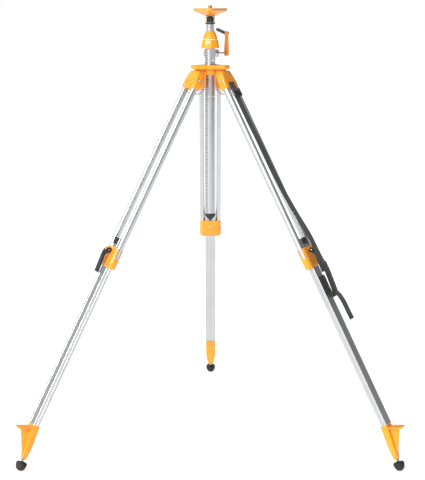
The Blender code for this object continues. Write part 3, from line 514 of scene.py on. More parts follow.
def soften(obj, width, segments=3, angle=32.0):
    """Rounds the edges sharper than the angle, and shades the rest smooth."""
    bm = bmesh.new()
    bm.from_mesh(obj.data)
    bmesh.ops.dissolve_limit(bm, angle_limit=math.radians(0.5), verts=bm.verts, edges=bm.edges)
    bm.to_mesh(obj.data)
    bm.free()
    bevel = obj.modifiers.new("edges", "BEVEL")
    bevel.width = width
    bevel.segments = segments
    bevel.limit_method = "ANGLE"
    bevel.angle_limit = math.radians(angle)
    bevel.use_clamp_overlap = True
    bevel.miter_outer = "MITER_ARC"
    settle(obj)
    return smooth(obj)


def place(obj, matrix, body, surface, *replaced):
    """Puts a piece made in its own frame at its place, on its body and in its material."""
    if surface in DIRECTIONAL:
        obj.matrix_world = matrix
    else:
        obj.data.transform(matrix)
    obj.data.materials.clear()
    obj.data.materials.append(surface)
    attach(obj, body)
    if replaced:
        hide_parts(*replaced)
    return obj


def turned(name, profile, matrix, body, surface, *replaced, sides=64, angle=35.0):
    """A lathe-made piece, smoothed and put at its place."""
    return place(smooth(solid(name, lathe(profile, sides)), angle), matrix, body, surface, *replaced)


def socket_screw(name, radius, height, matrix, body):
    """A screw head with a hexagon socket. It stands on the frame's XY plane and points along +Z."""
    profile = [(0.0, height), (radius * 0.86, height), (radius, height * 0.72), (radius, 0.0), (0.0, 0.0)]
    obj = solid(name, lathe(profile, 28))
    cut(obj, cylinder(radius * 0.50, height * 0.35, height + 0.01, sides=6))
    place(smooth(obj, 35.0), matrix, body, STEEL)


# ---- legs ----
def tube_room(way):
    return oval(TUBE_HALF[0] + GAP, TUBE_HALF[1] + GAP, (0.0, way * TUBE_Y))


def bracket(side):
    outline = [(-0.0360, 0.0395), (-0.0490, -0.0100), (-0.0490, -0.0400)]
    outline += [(-y, z) for y, z in outline[::-1]]
    obj = solid("bracket_" + side, prism(outline, BRACKET_INNER, BRACKET_OUTER, "YZ"))
    soften(obj, 0.0080, 5, 20.0)
    cut(obj, box((-0.04, -0.0126, -0.020), (0.0137, 0.0126, 0.05)))
    for way in BOTH:
        bolt_seat = sorted((way * 0.0445, way * 0.07))
        cut(obj, cylinder(0.0064, *bolt_seat, "Y", sides=32))
        cut(obj, prism(tube_room(way), -0.06, -0.0197))
    soften(obj, 0.0006, 2, 40.0)
    place(obj, LEG[side], "leg_" + side, YELLOW, "leg_bracket_" + side)
    for way in BOTH:
        spot = LEG[side] @ at(BRACKET_OUTER, way * 0.0340, -0.026) @ spin(90, "Y")
        socket_screw(f"bracket_screw_{side}_{way + 1}", 0.0026, 0.0012, spot, "leg_" + side)


def pivot_bolt(side):
    reach, end, head = 0.0448, 0.0480, 0.0058
    profile = [(0.0, end), (head * 0.88, end), (head, end - 0.001), (head, reach), (0.0040, reach)]
    profile += [(r, -z) for r, z in profile[::-1]]
    obj = solid("bolt_" + side, lathe(profile, 40))
    for way in BOTH:
        socket = sorted((way * (end - 0.0020), way * (end + 0.01)))
        cut(obj, cylinder(0.0030, *socket, sides=6))
    place(smooth(obj, 35.0), LEG[side] @ spin(90, "X"), "leg_" + side, STEEL, "pivot_bolt_" + side)


def upper_tubes(side):
    outer = oval(*TUBE_HALF, sides=64)
    inner = oval(TUBE_HALF[0] - TUBE_WALL, TUBE_HALF[1] - TUBE_WALL, sides=64)
    for letter, way in zip("ab", BOTH):
        obj = solid(f"tube_{letter}_{side}", prism(outer, CLAMP_SPLIT, -0.0200))
        cut(obj, prism(inner, CLAMP_SPLIT - 0.01, 0.01))
        spot = LEG[side] @ at(0.0, way * TUBE_Y, 0.0)
        place(smooth(obj), spot, "leg_" + side, ALUMINIUM, f"upper_tube_{letter}_{side}")


def clamp_shell():
    """The clamp's outside: a stadium section with a shallow waist at the split and eased ends."""
    section = [(v, u) for u, v in stadium(CLAMP_HALF[1], CLAMP_HALF[0], 16)]
    levels = ((CLAMP_BOTTOM, 0.0035), (CLAMP_BOTTOM + 0.0010, 0.0018), (CLAMP_BOTTOM + 0.0035, 0.0))
    levels += ((CLAMP_SPLIT - 0.0022, 0.0), (CLAMP_SPLIT - 0.0010, 0.0012), (CLAMP_SPLIT + 0.0010, 0.0012))
    levels += ((CLAMP_SPLIT + 0.0022, 0.0), (CLAMP_TOP - 0.0025, 0.0), (CLAMP_TOP, 0.0020))
    sections = []
    for z, pull in levels:
        keep_x, keep_y = (1 - pull / half for half in CLAMP_HALF)
        sections.append([(x * keep_x, y * keep_y, z) for x, y in section])
    return stacked(sections)


def clamp(side):
    obj = solid("clamp_" + side, clamp_shell())
    x, y = LOWER_HALF[0] + 2 * GAP, LOWER_HALF[1] + 2 * GAP
    cut(obj, box((-x, -y, -0.9), (x, y, -0.7)))
    for way in BOTH:
        cut(obj, prism(tube_room(way), CLAMP_SPLIT - GAP, -0.7))
        window = sorted((way * 0.0385, way * 0.06))
        cut(obj, box((-0.0060, window[0], CLAMP_SPLIT - GAP), (0.0110, window[1], -0.7)))
    soften(obj, 0.0008, 2, 45.0)
    place(obj, LEG[side], "leg_" + side, YELLOW, "clamp_body_" + side)
    pin_place = (LEVER.x, LEVER.z)
    lug_low, lug_high = (0.0165, -0.0060, LEVER.z - 0.011), (LEVER.x, 0.0060, LEVER.z + 0.011)
    lug = solid("lug_" + side, box(lug_low, lug_high))
    add(lug, cylinder(0.0110, -0.0060, 0.0060, "Y", pin_place, sides=40))
    cut(lug, cylinder(PIN_ROOM_R, -0.02, 0.02, "Y", pin_place, sides=24))
    soften(lug, 0.0007, 2, 40.0)
    place(lug, LEG[side], "leg_" + side, YELLOW)
    for way in BOTH:
        spot = LEG[side] @ at(0.0172, way * 0.0335, CLAMP_BOTTOM + 0.022) @ spin(90, "Y")
        socket_screw(f"clamp_screw_{side}_{way + 1}", 0.0034, 0.0020, spot, "leg_" + side)
    spot = LEG[side] @ at(-CLAMP_HALF[0], 0.0, CLAMP_TOP - 0.0290) @ spin(-90, "Y")
    socket_screw(f"clamp_stop_{side}", 0.0062, 0.0026, spot, "leg_" + side)


def lever(side):
    """Cam lever: a forked eye round the lug, and a handle that hangs beside the leg."""
    outline = arc((0.0, 0.0), LEVER_EYE_R, 200, 50, 16)
    outline += [(0.0110, 0.0040), (0.0145, -0.0080), (0.0158, -0.0180), (0.0112, -0.0985)]
    outline += [(0.0085, -0.1005), (0.0035, -0.1000), (0.0012, -0.0975), (0.0060, -0.0240)]
    outline.append((0.0025, -0.0150))
    outline += arc((0.0, 0.0), LEVER_EYE_R, 265, 205, 8)
    obj = solid("lever_" + side, prism(outline, -0.0105, 0.0105, "XZ"))
    cut(obj, box((-0.02, -0.0066, -0.0150), (0.0145, 0.0066, 0.0150)))
    cut(obj, cylinder(PIN_ROOM_R, -0.02, 0.02, "Y", sides=24))
    for i in range(6):
        z = -0.090 + i * 0.0045
        outer_face = 0.0119 - (z + 0.090) * 0.057
        cut(obj, cylinder(0.0008, -0.0085, 0.0085, "Y", (outer_face, z), sides=12))
    recess = [(-0.0045, -0.082), (-0.0062, -0.030), (0.0062, -0.030), (0.0045, -0.082)]
    cut(obj, prism(rounded(recess, 0.003), 0.0148, 0.03, "YZ"))
    soften(obj, 0.0010, 3, 35.0)
    place(obj, LEG[side] @ Matrix.Translation(LEVER), "lever_" + side, BLACK, "clamp_lever_" + side)
    pin = solid("pin_" + side, cylinder(0.0030, -0.0113, 0.0113, "Y", (LEVER.x, LEVER.z), sides=28))
    soften(pin, 0.0005, 2, 40.0)
    place(pin, LEG[side], "leg_" + side, STEEL, "lever_pin_" + side)


def lower_outline():
    """Box section with round corners, a fine line down each narrow face and a channel down each wide one."""
    half_x, half_y = LOWER_HALF
    corner = 0.0028
    line = [(0.0012, half_y), (0.0005, half_y - 0.0007), (-0.0005, half_y - 0.0007), (-0.0012, half_y)]
    channel = [(-half_x, 0.0135), (0.0009 - half_x, 0.0126), (0.0009 - half_x, -0.0126), (-half_x, -0.0135)]
    half = arc((half_x - corner, half_y - corner), corner, 0, 90, 6) + line
    half += arc((corner - half_x, half_y - corner), corner, 90, 180, 6) + channel
    return half + [(-x, -y) for x, y in half]


def lower_leg(side):
    obj = solid("leg_box_" + side, prism(lower_outline(), LOWER_BOTTOM, LOWER_TOP))
    cut(obj, box((-0.0112, -0.0217, LOWER_BOTTOM - 0.01), (0.0112, 0.0217, LOWER_TOP + 0.01)))
    place(smooth(obj, 30.0), LEG[side], "lower_" + side, ALUMINIUM, "lower_leg_" + side)
    dome = [(0.0, 0.0014), (0.0022, 0.0012), (0.0035, 0.0004), (0.0036, 0.0), (0.0, 0.0)]
    for way in BOTH:
        face = way * (LOWER_HALF[1] - 0.0002)
        spot = LEG[side] @ at(0.0, face, LOWER_BOTTOM + 0.024) @ spin(-90 * way, "X")
        turned(f"rivet_{side}_{way + 1}", dome, spot, "lower_" + side, STEEL, sides=24, angle=50.0)


def guide(side):
    half_x = LOWER_HALF[0]
    top = LOWER_TOP + 0.0022
    shoe = box((half_x + GAP, -0.0150, LOWER_TOP - 0.0240), (0.0172, 0.0150, top))
    obj = solid("shoe_" + side, shoe)
    add(obj, box((-half_x, -0.0235, LOWER_TOP + GAP), (half_x + 0.001, 0.0235, top)))
    for i in range(4):
        z = LOWER_TOP - 0.0205 + i * 0.0056
        cut(obj, box((0.0164, -0.0115, z), (0.03, 0.0115, z + 0.0022)))
    soften(obj, 0.0009, 2, 40.0)
    place(obj, LEG[side], "lower_" + side, BLACK, "leg_guide_" + side)


# The foot casting's sections: share of the way up from the neck, half size along x and along y.
FOOT_STEPS = (
    (0.0, 0.0085, 0.0095), (0.05, 0.0095, 0.0118), (0.13, 0.0108, 0.0154), (0.22, 0.0120, 0.0184),
    (0.32, 0.0130, 0.0207), (0.45, 0.0139, 0.0224), (0.60, 0.0146, 0.0232), (0.94, 0.0152, 0.0234),
    (0.95, 0.0160, 0.0242), (1.0, 0.0160, 0.0242),
)


def foot_casting(name, neck, ball_frame):
    """The casting, from its neck over the ball up to the leg's end, with its rib and its tread."""
    top = LOWER_BOTTOM - GAP
    corners = rounded([(1, 1), (-1, 1), (-1, -1), (1, -1)], 0.28, 6)
    sections = []
    for share, half_x, half_y in FOOT_STEPS:
        middle = neck.lerp(Vector((0.0, 0.0, top)), share)
        back = -0.0025 * share
        sections.append([(middle.x + back + u * half_x, v * half_y, middle.z) for u, v in corners])
    obj = solid(name, stacked(sections))
    rib = [(0.0, top - 0.016), (0.0480, LOWER_BOTTOM - 0.0300), (0.0455, LOWER_BOTTOM - 0.0360)]
    rib += [(0.0130, LOWER_BOTTOM - 0.0930), (neck.x + 0.006, neck.z + 0.004), (neck.x, neck.z + 0.012)]
    add(obj, prism(rib, -0.0038, 0.0038, "XZ"))
    tilt = at(LOWER_HALF[0], 0.0, top - 0.0135) @ spin(math.degrees(SPLAY) - TREAD_RISE, "Y")
    tread = rectangle((-0.0040, -0.022), (0.0545, 0.022), 0.005)
    add(obj, moved(prism(tread, -0.0045, 0.0), tilt))
    for i in range(7):
        x = 0.012 + i * 0.0055
        cut(obj, moved(box((x, -0.017, -0.0008), (x + 0.0026, 0.017, 0.01)), tilt))
    cut(obj, moved(cylinder(0.0053, 0.0, 0.0700, sides=32), ball_frame))
    return soften(obj, 0.0010, 2, 38.0)


def foot(side):
    body = "lower_" + side
    ball = Vector((BALL_X, 0.0, -(HINGE_Z + BALL_X * math.sin(SPLAY) - BALL_R) / math.cos(SPLAY)))
    up = (Vector((0.0, 0.0, LOWER_BOTTOM)) - ball).normalized()
    ball_frame = Matrix.Translation(ball) @ Matrix.Rotation(math.atan2(up.x, up.z), 4, "Y")
    casting = foot_casting("foot_" + side, ball + up * 0.0280, ball_frame)
    place(casting, LEG[side], body, YELLOW, "foot_casting_" + side)
    here = LEG[side] @ ball_frame
    spike = [(0.0, 0.0690), (0.0050, 0.0690), (0.0050, 0.0240), (0.0047, 0.0236), (0.0047, 0.0010)]
    spike.append((0.0, -0.0080))
    turned("spike_" + side, spike, here, body, STEEL, "foot_spike_" + side, sides=36, angle=40.0)
    nut = solid("jam_nut_" + side, cylinder(0.0088, 0.0205, 0.0262, sides=6))
    cut(nut, cylinder(0.0051, 0.0, 0.05, sides=32))
    soften(nut, 0.0005, 2, 35.0)
    place(nut, here, body, STEEL)
    dome = [(0.0053, 0.0130), (0.0110, 0.0132), (0.0190, 0.0124), (0.0212, 0.0110), (0.0222, 0.0085)]
    dome += [(BALL_R, 0.0050), (0.0220, 0.0), (0.0206, -0.0060), (0.0180, -0.0120), (0.0158, -0.0155)]
    dome += arc((0.0, 0.0), BALL_R, -50, -85, 7)
    dome += [(0.0, -BALL_R), (0.0, -0.0090), (0.0053, 0.0005)]
    turned("ball_" + side, dome, here, body, RUBBER, "rubber_foot_" + side, sides=56, angle=50.0)


def leg(side):
    bracket(side)
    pivot_bolt(side)
    upper_tubes(side)
    clamp(side)
    lever(side)
    guide(side)
    lower_leg(side)
    foot(side)


# ---- hub and gear case ----
def rack_channel(half_width=0.0056, depth=0.0284):
    """The channel that the column's rack runs in."""
    return moved(box((0.0, -half_width, 1.5), (depth, half_width, 1.7)), spin(RACK_TURN))


def column_room():
    return cylinder(COLUMN_ROOM_R, 1.5, 1.7, sides=72)


def polar(radius, angle):
    return Vector((math.cos(angle), math.sin(angle))) * radius


def eared(azimuths, reach, half_width, waist=None):
    """The corners of a plate with an ear toward each azimuth, and a waist between the ears."""
    outline = []
    for azimuth in azimuths:
        toward = math.radians(azimuth)
        for way in BOTH:
            outline.append(tuple(polar(reach, toward) + polar(half_width * way, toward + math.pi / 2)))
        if waist:
            outline.append(tuple(polar(waist, toward + math.pi / 3)))
    return outline


def hub():
    low, top = HUB_PLATE
    outline = rounded(eared(LEG_AZIMUTHS, 0.0835, 0.0200, 0.052), 0.012, 7)
    obj = solid("hub_casting", prism(outline, low, top))
    soften(obj, 0.0030, 4, 50.0)
    add(obj, cylinder(0.0370, 1.5527, low + 0.002, sides=72))
    tongue_r = 0.0125
    tongue = [(0.030, low + 0.002), (0.030, 1.5567)]
    tongue += arc((PIVOT_R, HINGE_Z), tongue_r, 250, 360 + math.degrees(SPLAY), 20)
    edge = PIVOT_R + tongue_r / math.cos(SPLAY)
    tongue.append((edge - (low + 0.002 - HINGE_Z) * math.tan(SPLAY), low + 0.002))
    for azimuth in LEG_AZIMUTHS:
        toward = spin(azimuth)
        add(obj, moved(prism(tongue, -0.0120, 0.0120, "XZ"), toward))
        cut(obj, moved(cylinder(0.0043, -0.03, 0.03, "Y", (PIVOT_R, HINGE_Z), sides=24), toward))
        dent = prism(stadium(0.0130, 0.0045), top - 0.0012, 1.65)
        cut(obj, moved(dent, toward @ at(0.0680, 0.0, 0.0)))
    cut(obj, column_room())
    cut(obj, rack_channel())
    soften(obj, 0.0008, 2, 40.0)
    place(obj, COLUMN, "tripod_head", YELLOW, "hub")


def gear_case():
    low = HUB_PLATE[1] + GAP
    drive = spin(DRIVE_TURN)
    obj = solid("gear_case", cylinder(0.0550, low, FLANGE_TOP, sides=80))
    soften(obj, 0.0025, 4, 50.0)
    add(obj, cylinder(HOUSING_R, FLANGE_TOP - 0.002, HOUSING_TOP, sides=80))
    cut(obj, groove(0.0372, 0.05, 1.6565, 1.6575))
    case = rectangle((-0.014, -0.0135), (CASE_END, 0.0565), 0.006, 6)
    add(obj, moved(prism(case, FLANGE_TOP - 0.008, HOUSING_TOP - 0.004), drive))
    lower_case = rectangle((0.0, -0.0145), (CASE_END + 0.001, 0.0300), 0.005)
    add(obj, moved(prism(lower_case, low + 0.001, 1.6185), drive))
    boss = cylinder(0.0070, 1.6400, HOUSING_TOP - 0.0015, centre=(0.0455, -0.0080), sides=36)
    add(obj, moved(boss, drive))
    cut(obj, column_room())
    cut(obj, rack_channel())
    cut(obj, moved(cylinder(0.0145, -0.0075, 0.08, "X", (SHAFT_OFFSET, SHAFT_Z)), drive))
    soften(obj, 0.0012, 3, 40.0)
    cut(obj, rack_channel(0.0058, 0.0288))
    place(smooth(obj), COLUMN, "tripod_head", YELLOW, "gearbox_housing")
    for i, azimuth in enumerate((285.0, 345.0, 165.0, 225.0)):
        spot = COLUMN @ at(*polar(0.0465, math.radians(azimuth)), FLANGE_TOP)
        socket_screw(f"flange_screw_{i}", 0.0045, 0.0042, spot, "tripod_head")
    for i, height in enumerate((1.650, 1.624)):
        spot = COLUMN @ drive @ at(CASE_END, 0.0115, height) @ spin(90, "Y")
        socket_screw(f"case_screw_{i}", 0.0032, 0.0022, spot, "tripod_head")
    shaft_room, plug = SHAFT_ROOM_R, 0.0142
    bush = [(shaft_room, 0.0050), (0.0158, 0.0050), (0.0165, 0.0043), (0.0165, GAP), (plug, GAP)]
    bush += [(plug, -0.0410), (shaft_room, -0.0410)]
    spot = COLUMN @ drive @ at(CASE_END, SHAFT_OFFSET, SHAFT_Z) @ spin(90, "Y")
    turned("bush", bush, spot, "tripod_head", STEEL, "bearing_cover")
    for i in range(3):
        screw = spot @ at(*polar(0.0118, math.radians(90 + 120 * i)), 0.0050)
        socket_screw(f"bush_screw_{i}", 0.0022, 0.0014, screw, "tripod_head")


# ---- crank ----
def grip_frame():
    """The grip's frame in the crank's: origin on the fold pin, +X along the grip and +Y along the pin."""
    inverse = CRANK.inverted()
    pin = inverse.to_3x3() @ Vector(JOINTS["grip_fold"]["axis"]).normalized()
    spot = inverse @ Vector(JOINTS["grip_fold"]["pos_m"])
    along = Vector((1.0, 0.0, 0.0)).cross(pin)
    return frame_at(spot, along, pin, along.cross(pin))


def crank_arm(grip_place):
    outline = arc((0.0, 0.0), 0.0125, 188, 352, 24)
    outline += [(0.0058, ARM_LENGTH - 0.004), (-0.0058, ARM_LENGTH - 0.004)]
    obj = solid("arm", prism(outline, ARM_T - 0.0055, ARM_T + 0.0055, "YZ"))
    add(obj, cylinder(0.0100, ARM_T - 0.0062, ARM_T + 0.0062, "X", (0.0, ARM_LENGTH), sides=44))
    add(obj, cylinder(0.0110, ARM_T - 0.0085, ARM_T + 0.0070, "X", sides=44))
    web = rounded([(-0.0062, 0.0160), (0.0062, 0.0160), (0.0036, 0.0630), (-0.0036, 0.0630)], 0.003, 5)
    for ends in ((ARM_T + 0.0042, ARM_T + 0.02), (ARM_T - 0.02, ARM_T - 0.0042)):
        cut(obj, prism(web, *ends, "YZ"))
    cut(obj, cylinder(SHAFT_ROOM_R, ARM_T - 0.03, ARM_T + 0.03, "X", sides=36))
    knuckle_slot = box((-0.0062, -0.0026, -0.03), (0.03, 0.0026, 0.03))
    cut(obj, moved(knuckle_slot, grip_place))
    cut(obj, moved(cylinder(0.0023, -0.0088, 0.02, "Y", sides=20), grip_place))
    soften(obj, 0.0009, 3, 38.0)
    place(obj, CRANK, "crank", YELLOW, "crank_arm")


def crank_grip(here):
    hold = arc((0.0, 0.0), 0.0055, 60, 300, 22) + [(0.0165, -0.0040), (0.0165, 0.0040)]
    neck = solid("grip_neck", prism(hold, -0.0022, 0.0022, "XZ"))
    add(neck, cylinder(0.0020, -0.0085, 0.0085, "Y", sides=28))
    soften(neck, 0.0004, 2, 35.0)
    place(neck, here, "grip", STEEL, "crank_grip")
    profile = [(0.0, 0.0817), (0.0040, 0.0812), (0.0060, 0.0795), (0.0067, 0.0765)]
    for i in range(6):
        z = 0.0700 - i * 0.0090
        profile += [(0.0068, z + 0.0020), (0.0062, z + 0.0008), (0.0062, z - 0.0008), (0.0068, z - 0.0020)]
    profile += [(0.0064, 0.0150), (0.0056, 0.0125), (0.0, 0.0125)]
    turned("grip_sleeve", profile, here @ spin(90, "Y"), "grip", BLACK, sides=48, angle=45.0)


def crank():
    grip_place = grip_frame()
    crank_arm(grip_place)
    ring = [(SHAFT_ROOM_R, 0.0011), (0.0080, 0.0011), (0.0080, 0.0), (SHAFT_ROOM_R, 0.0)]
    spot = CRANK @ at(ARM_T + 0.0071, 0.0, 0.0) @ spin(90, "Y")
    turned("circlip", ring, spot, "crank", STEEL, sides=40)
    crank_grip(CRANK @ grip_place)


# ---- columns ----
def ring_tube(name, outer, inner, low, high, body, surface, replaced):
    edge = 0.0004
    profile = [(inner, high - edge), (inner + edge, high), (outer - edge, high), (outer, high - edge)]
    profile += [(outer, low + edge), (outer - edge, low), (inner + edge, low), (inner, low + edge)]
    turned(name, profile, COLUMN, body, surface, replaced, sides=96)


def faceted(name, sides, levels, width):
    turns = [math.radians(-82.0) + 2 * math.pi * i / sides for i in range(sides)]
    sections = [[(r * math.cos(a), r * math.sin(a), z) for a in turns] for r, z in levels]
    return soften(solid(name, stacked(sections)), width, 3, 14.0)


def inner_column_room():
    return cylinder(INNER_R + 0.0005, 1.6, 1.8, sides=72)


def columns():
    ring_tube("column_tube", COLUMN_R, 0.0185, 0.9730, 1.6760, "column", SCALE, "outer_column")
    ring_tube("inner_tube", INNER_R, 0.0135, 1.1200, 1.7570, "inner", ALUMINIUM, "inner_column")
    cap = [(0.0, 0.9970), (0.0182, 0.9970), (0.0182, 0.9727), (0.0226, 0.9727), (0.0226, 0.9640)]
    cap += [(0.0220, 0.9612), (0.0150, 0.9530), (0.0070, 0.9440), (0.0030, 0.9408), (0.0, 0.9400)]
    turned("end_cone", cap, COLUMN, "column", BLACK, "column_end_cap", sides=72)
    block = faceted("clamp_block", 8, [(0.0385, HOUSING_TOP + GAP), (0.0335, 1.6922)], 0.0022)
    cut(block, cylinder(COLUMN_R + GAP, 1.6, 1.6763, sides=72))
    cut(block, inner_column_room())
    place(smooth(block, 30.0), COLUMN, "column", YELLOW, "column_clamp")
    low, high = 1.6925, 1.6967
    ring = [(0.0160, high), (0.0294, high), (0.0300, high - 0.0006)]
    ring += [(0.0300, low + 0.0006), (0.0294, low), (0.0160, low)]
    turned("nylon_ring", ring, COLUMN, "column", CREAM, "collet_washer", sides=80)
    nut = faceted("nut", 10, [(0.0308, 1.6970), (0.0298, 1.7040), (0.0185, 1.7290)], 0.0012)
    cut(nut, inner_column_room())
    place(smooth(nut, 26.0), COLUMN, "collet", YELLOW, "collet_nut")


# ---- head ----
def thread(radius, depth, pitch, low, high, sides=40, per_pitch=6):
    """A screw thread as one closed body: rings whose radius follows a helix and fades out at the top."""
    steps = int((high - low) / pitch * per_pitch)
    sections = []
    for j in range(steps + 1):
        z = low + (high - low) * j / steps
        fade = min(1.0, (high - z) / 0.0012)
        section = []
        for i in range(sides):
            share = i / sides
            phase = (z / pitch - share) % 1.0
            r = radius - depth * (1 - abs(phase * 2 - 1)) * fade - 0.0008 * (1 - fade)
            angle = 2 * math.pi * share
            section.append((r * math.cos(angle), r * math.sin(angle), z))
        sections.append(section)
    return stacked(sections)


def thumb_wheel():
    knurls = 30
    points = []
    for i in range(knurls * 6):
        angle = 2 * math.pi * i / (knurls * 6)
        radius = 0.0143 + 0.0004 * math.cos(angle * knurls)
        points.append((radius * math.cos(angle), radius * math.sin(angle)))
    wheel = solid("wheel", prism(points, 1.7640, 1.7876))
    cut(wheel, cylinder(0.0082, 1.7, 1.8, sides=48))
    for z in (1.7715, 1.7815):
        cut(wheel, groove(0.0137, 0.02, z, z + 0.0010, 72))
    place(smooth(wheel, 50.0), COLUMN, "screw", BLACK, "thumb_wheel")


def seat_plate():
    outline = rounded(eared((30.0, 150.0, 270.0), 0.0757, 0.0090), 0.006, 5)
    levels = ((1.7890, 0.27), (1.8105, 1.0), (PLATE_TOP, 1.0))
    plate = solid("seat_plate", stacked([[(u * k, v * k, z) for u, v in outline] for z, k in levels]))
    soften(plate, 0.0014, 3, 30.0)
    cut(plate, cylinder(0.0084, 1.7, 1.9, sides=56))
    for inner, outer in ((0.0175, 0.0190), (0.0230, 0.0245)):
        cut(plate, groove(inner, outer, PLATE_TOP - 0.0006, 1.83, 96))
    place(smooth(plate, 35.0), COLUMN, "inner", YELLOW, "head_plate")


def head():
    collar = [(0.0, 1.7625), (0.0199, 1.7625), (0.0205, 1.7619), (0.0205, 1.7579), (0.0199, 1.7573)]
    collar += [(0.0132, 1.7573), (0.0132, 1.7370), (0.0, 1.7370)]
    turned("collar", collar, COLUMN, "inner", BLACK, "head_collar", sides=72)
    yoke = solid("yoke", cylinder(0.0185, 1.7628, 1.7887, sides=72))
    cut(yoke, box((-0.0158, -0.03, 1.7636), (0.0158, 0.03, 1.80)))
    soften(yoke, 0.0006, 2, 40.0)
    place(yoke, COLUMN, "inner", TAN, "head_yoke")
    thumb_wheel()
    stud = solid("stud", thread(0.0079, 0.0010, 0.0023, 1.7665, 1.8320))
    place(smooth(stud, 60.0), COLUMN, "screw", BRASS, "head_stud")
    seat_plate()


# ---- chains ----
CHAIN_LINKS = 20
CHAIN_SAG = 0.0140
CHAIN_Y = 0.0260


def chain_anchor(side, across):
    return LEG[side] @ Vector((-0.0120, across, -0.0483))


def chain_point(first, second, share):
    spot = chain_anchor(first, CHAIN_Y).lerp(chain_anchor(second, -CHAIN_Y), share)
    spot.z -= CHAIN_SAG * 4 * share * (1 - share)
    return spot


def link_ring(middle, along, across, length, first_index):
    """Vertices and faces of one oval link, a closed tube of wire."""
    count, round_steps = 20, 6
    width, wire = 0.0062, 0.0015
    verts, faces = [], []
    third = along.cross(across).normalized()
    for i in range(count):
        a = 2 * math.pi * i / count
        reach = (width - wire) / 2
        straight = math.copysign((length - width) / 2, math.cos(a)) if abs(math.cos(a)) > 1e-6 else 0.0
        centre = middle + along * (straight + math.cos(a) * reach) + across * (math.sin(a) * reach)
        outward = (along * math.cos(a) + across * math.sin(a)).normalized()
        for j in range(round_steps):
            b = 2 * math.pi * j / round_steps
            verts.append(centre + (outward * math.cos(b) + third * math.sin(b)) * wire / 2)
            k, after = (j + 1) % round_steps, (i + 1) % count
            corners = ((i, j), (after, j), (after, k), (i, k))
            faces.append([first_index + ring * round_steps + step for ring, step in corners])
    return verts, faces


def half_chain(name, first, second, half, replaced):
    """Half of one chain: the links next to the leg that it hangs from, with their eye on that leg."""
    verts, faces = [], []
    for i in range(half * CHAIN_LINKS // 2, (half + 1) * CHAIN_LINKS // 2):
        here = chain_point(first, second, (i + 0.5) / CHAIN_LINKS)
        before = chain_point(first, second, i / CHAIN_LINKS)
        after = chain_point(first, second, (i + 1) / CHAIN_LINKS)
        along = (after - before).normalized()
        level = along.cross(UP).normalized()
        across = level if i % 2 else along.cross(level).normalized()
        made, quads = link_ring(here, along, across, (after - before).length * 1.42, len(verts))
        verts += made
        faces += quads
    mesh = bpy.data.meshes.new(name)
    mesh.from_pydata([tuple(v) for v in verts], [], faces)
    obj = linked(name, mesh)
    mesh.materials.append(CHAIN)
    mesh.shade_smooth()
    side = (first, second)[half]
    start = chain_point(first, second, 0.5)
    end = chain_point(first, second, (0.02, 0.98)[half])
    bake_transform(obj)
    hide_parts(replaced)
    eye = [(0.0, 0.0022), (0.0030, 0.0022), (0.0034, 0.0016), (0.0034, 0.0), (0.0, 0.0)]
    spot = LEG[side].copy()
    spot.translation = chain_anchor(side, (CHAIN_Y, -CHAIN_Y)[half])
    turned(name + "_eye", eye, spot, "leg_" + side, STEEL, sides=20)


def chains():
    spans = (("front", "left", "right"), ("right", "right", "rear"), ("left", "rear", "left"))
    for name, first, second in spans:
        for half, letter in enumerate("ab"):
            half_chain(f"chain_{name}_{letter}", first, second, half, "spreader_chain_" + name)


# ---- strap ----
# Each route is a list of (x, z) points in the right leg's frame.
STRAP_RUN = [
    (0.0182, -0.0160), (0.0182, -0.0380), (0.0215, -0.0560), (0.0175, -0.0780), (0.0163, -0.1000),
    (0.0172, -0.2000), (0.0200, -0.2800), (0.0208, -0.4200), (0.0260, -0.5300), (0.0360, -0.6300),
    (0.0430, -0.6800), (0.0475, -0.7300), (0.0485, -0.7900), (0.0500, -0.8200), (0.0520, -0.8460),
]
PAD_RUN = [
    (0.0535, -0.8380), (0.0535, -0.8760), (0.0485, -0.9480), (0.0445, -0.9700), (0.0375, -0.9800),
    (0.0290, -0.9800), (0.0225, -0.9700), (0.0205, -0.9560), (0.0210, -0.8860),
]
TAIL_RUN = [
    (0.0495, -0.9680), (0.0560, -0.9850), (0.0605, -1.0050), (0.0622, -1.0300), (0.0625, -1.0600),
    (0.0635, -1.0940),
]
STRAP_LEFT, STRAP_RIGHT = -0.0240, 0.0160
STRAP_THICKNESS = 0.0022
TUBE_WRAP = [math.radians(20 + 14 * i) for i in range(12)]
HERE = LEG["right"]


def fine_path(path, spacing):
    """The path smoothed by a Catmull-Rom spline, with points at about that spacing."""
    points = [Vector(p) for p in path]
    points = [points[0] * 2 - points[1]] + points + [points[-1] * 2 - points[-2]]
    found = []
    for i in range(1, len(points) - 2):
        a, b, c, d = points[i - 1 : i + 3]
        steps = max(2, int((c - b).length / spacing))
        for step in range(steps):
            t = step / steps
            bend = (2 * a - 5 * b + 4 * c - d) * t * t + (3 * b - a - 3 * c + d) * t**3
            found.append(0.5 * (2 * b + (c - a) * t + bend))
    found.append(points[-2])
    return found


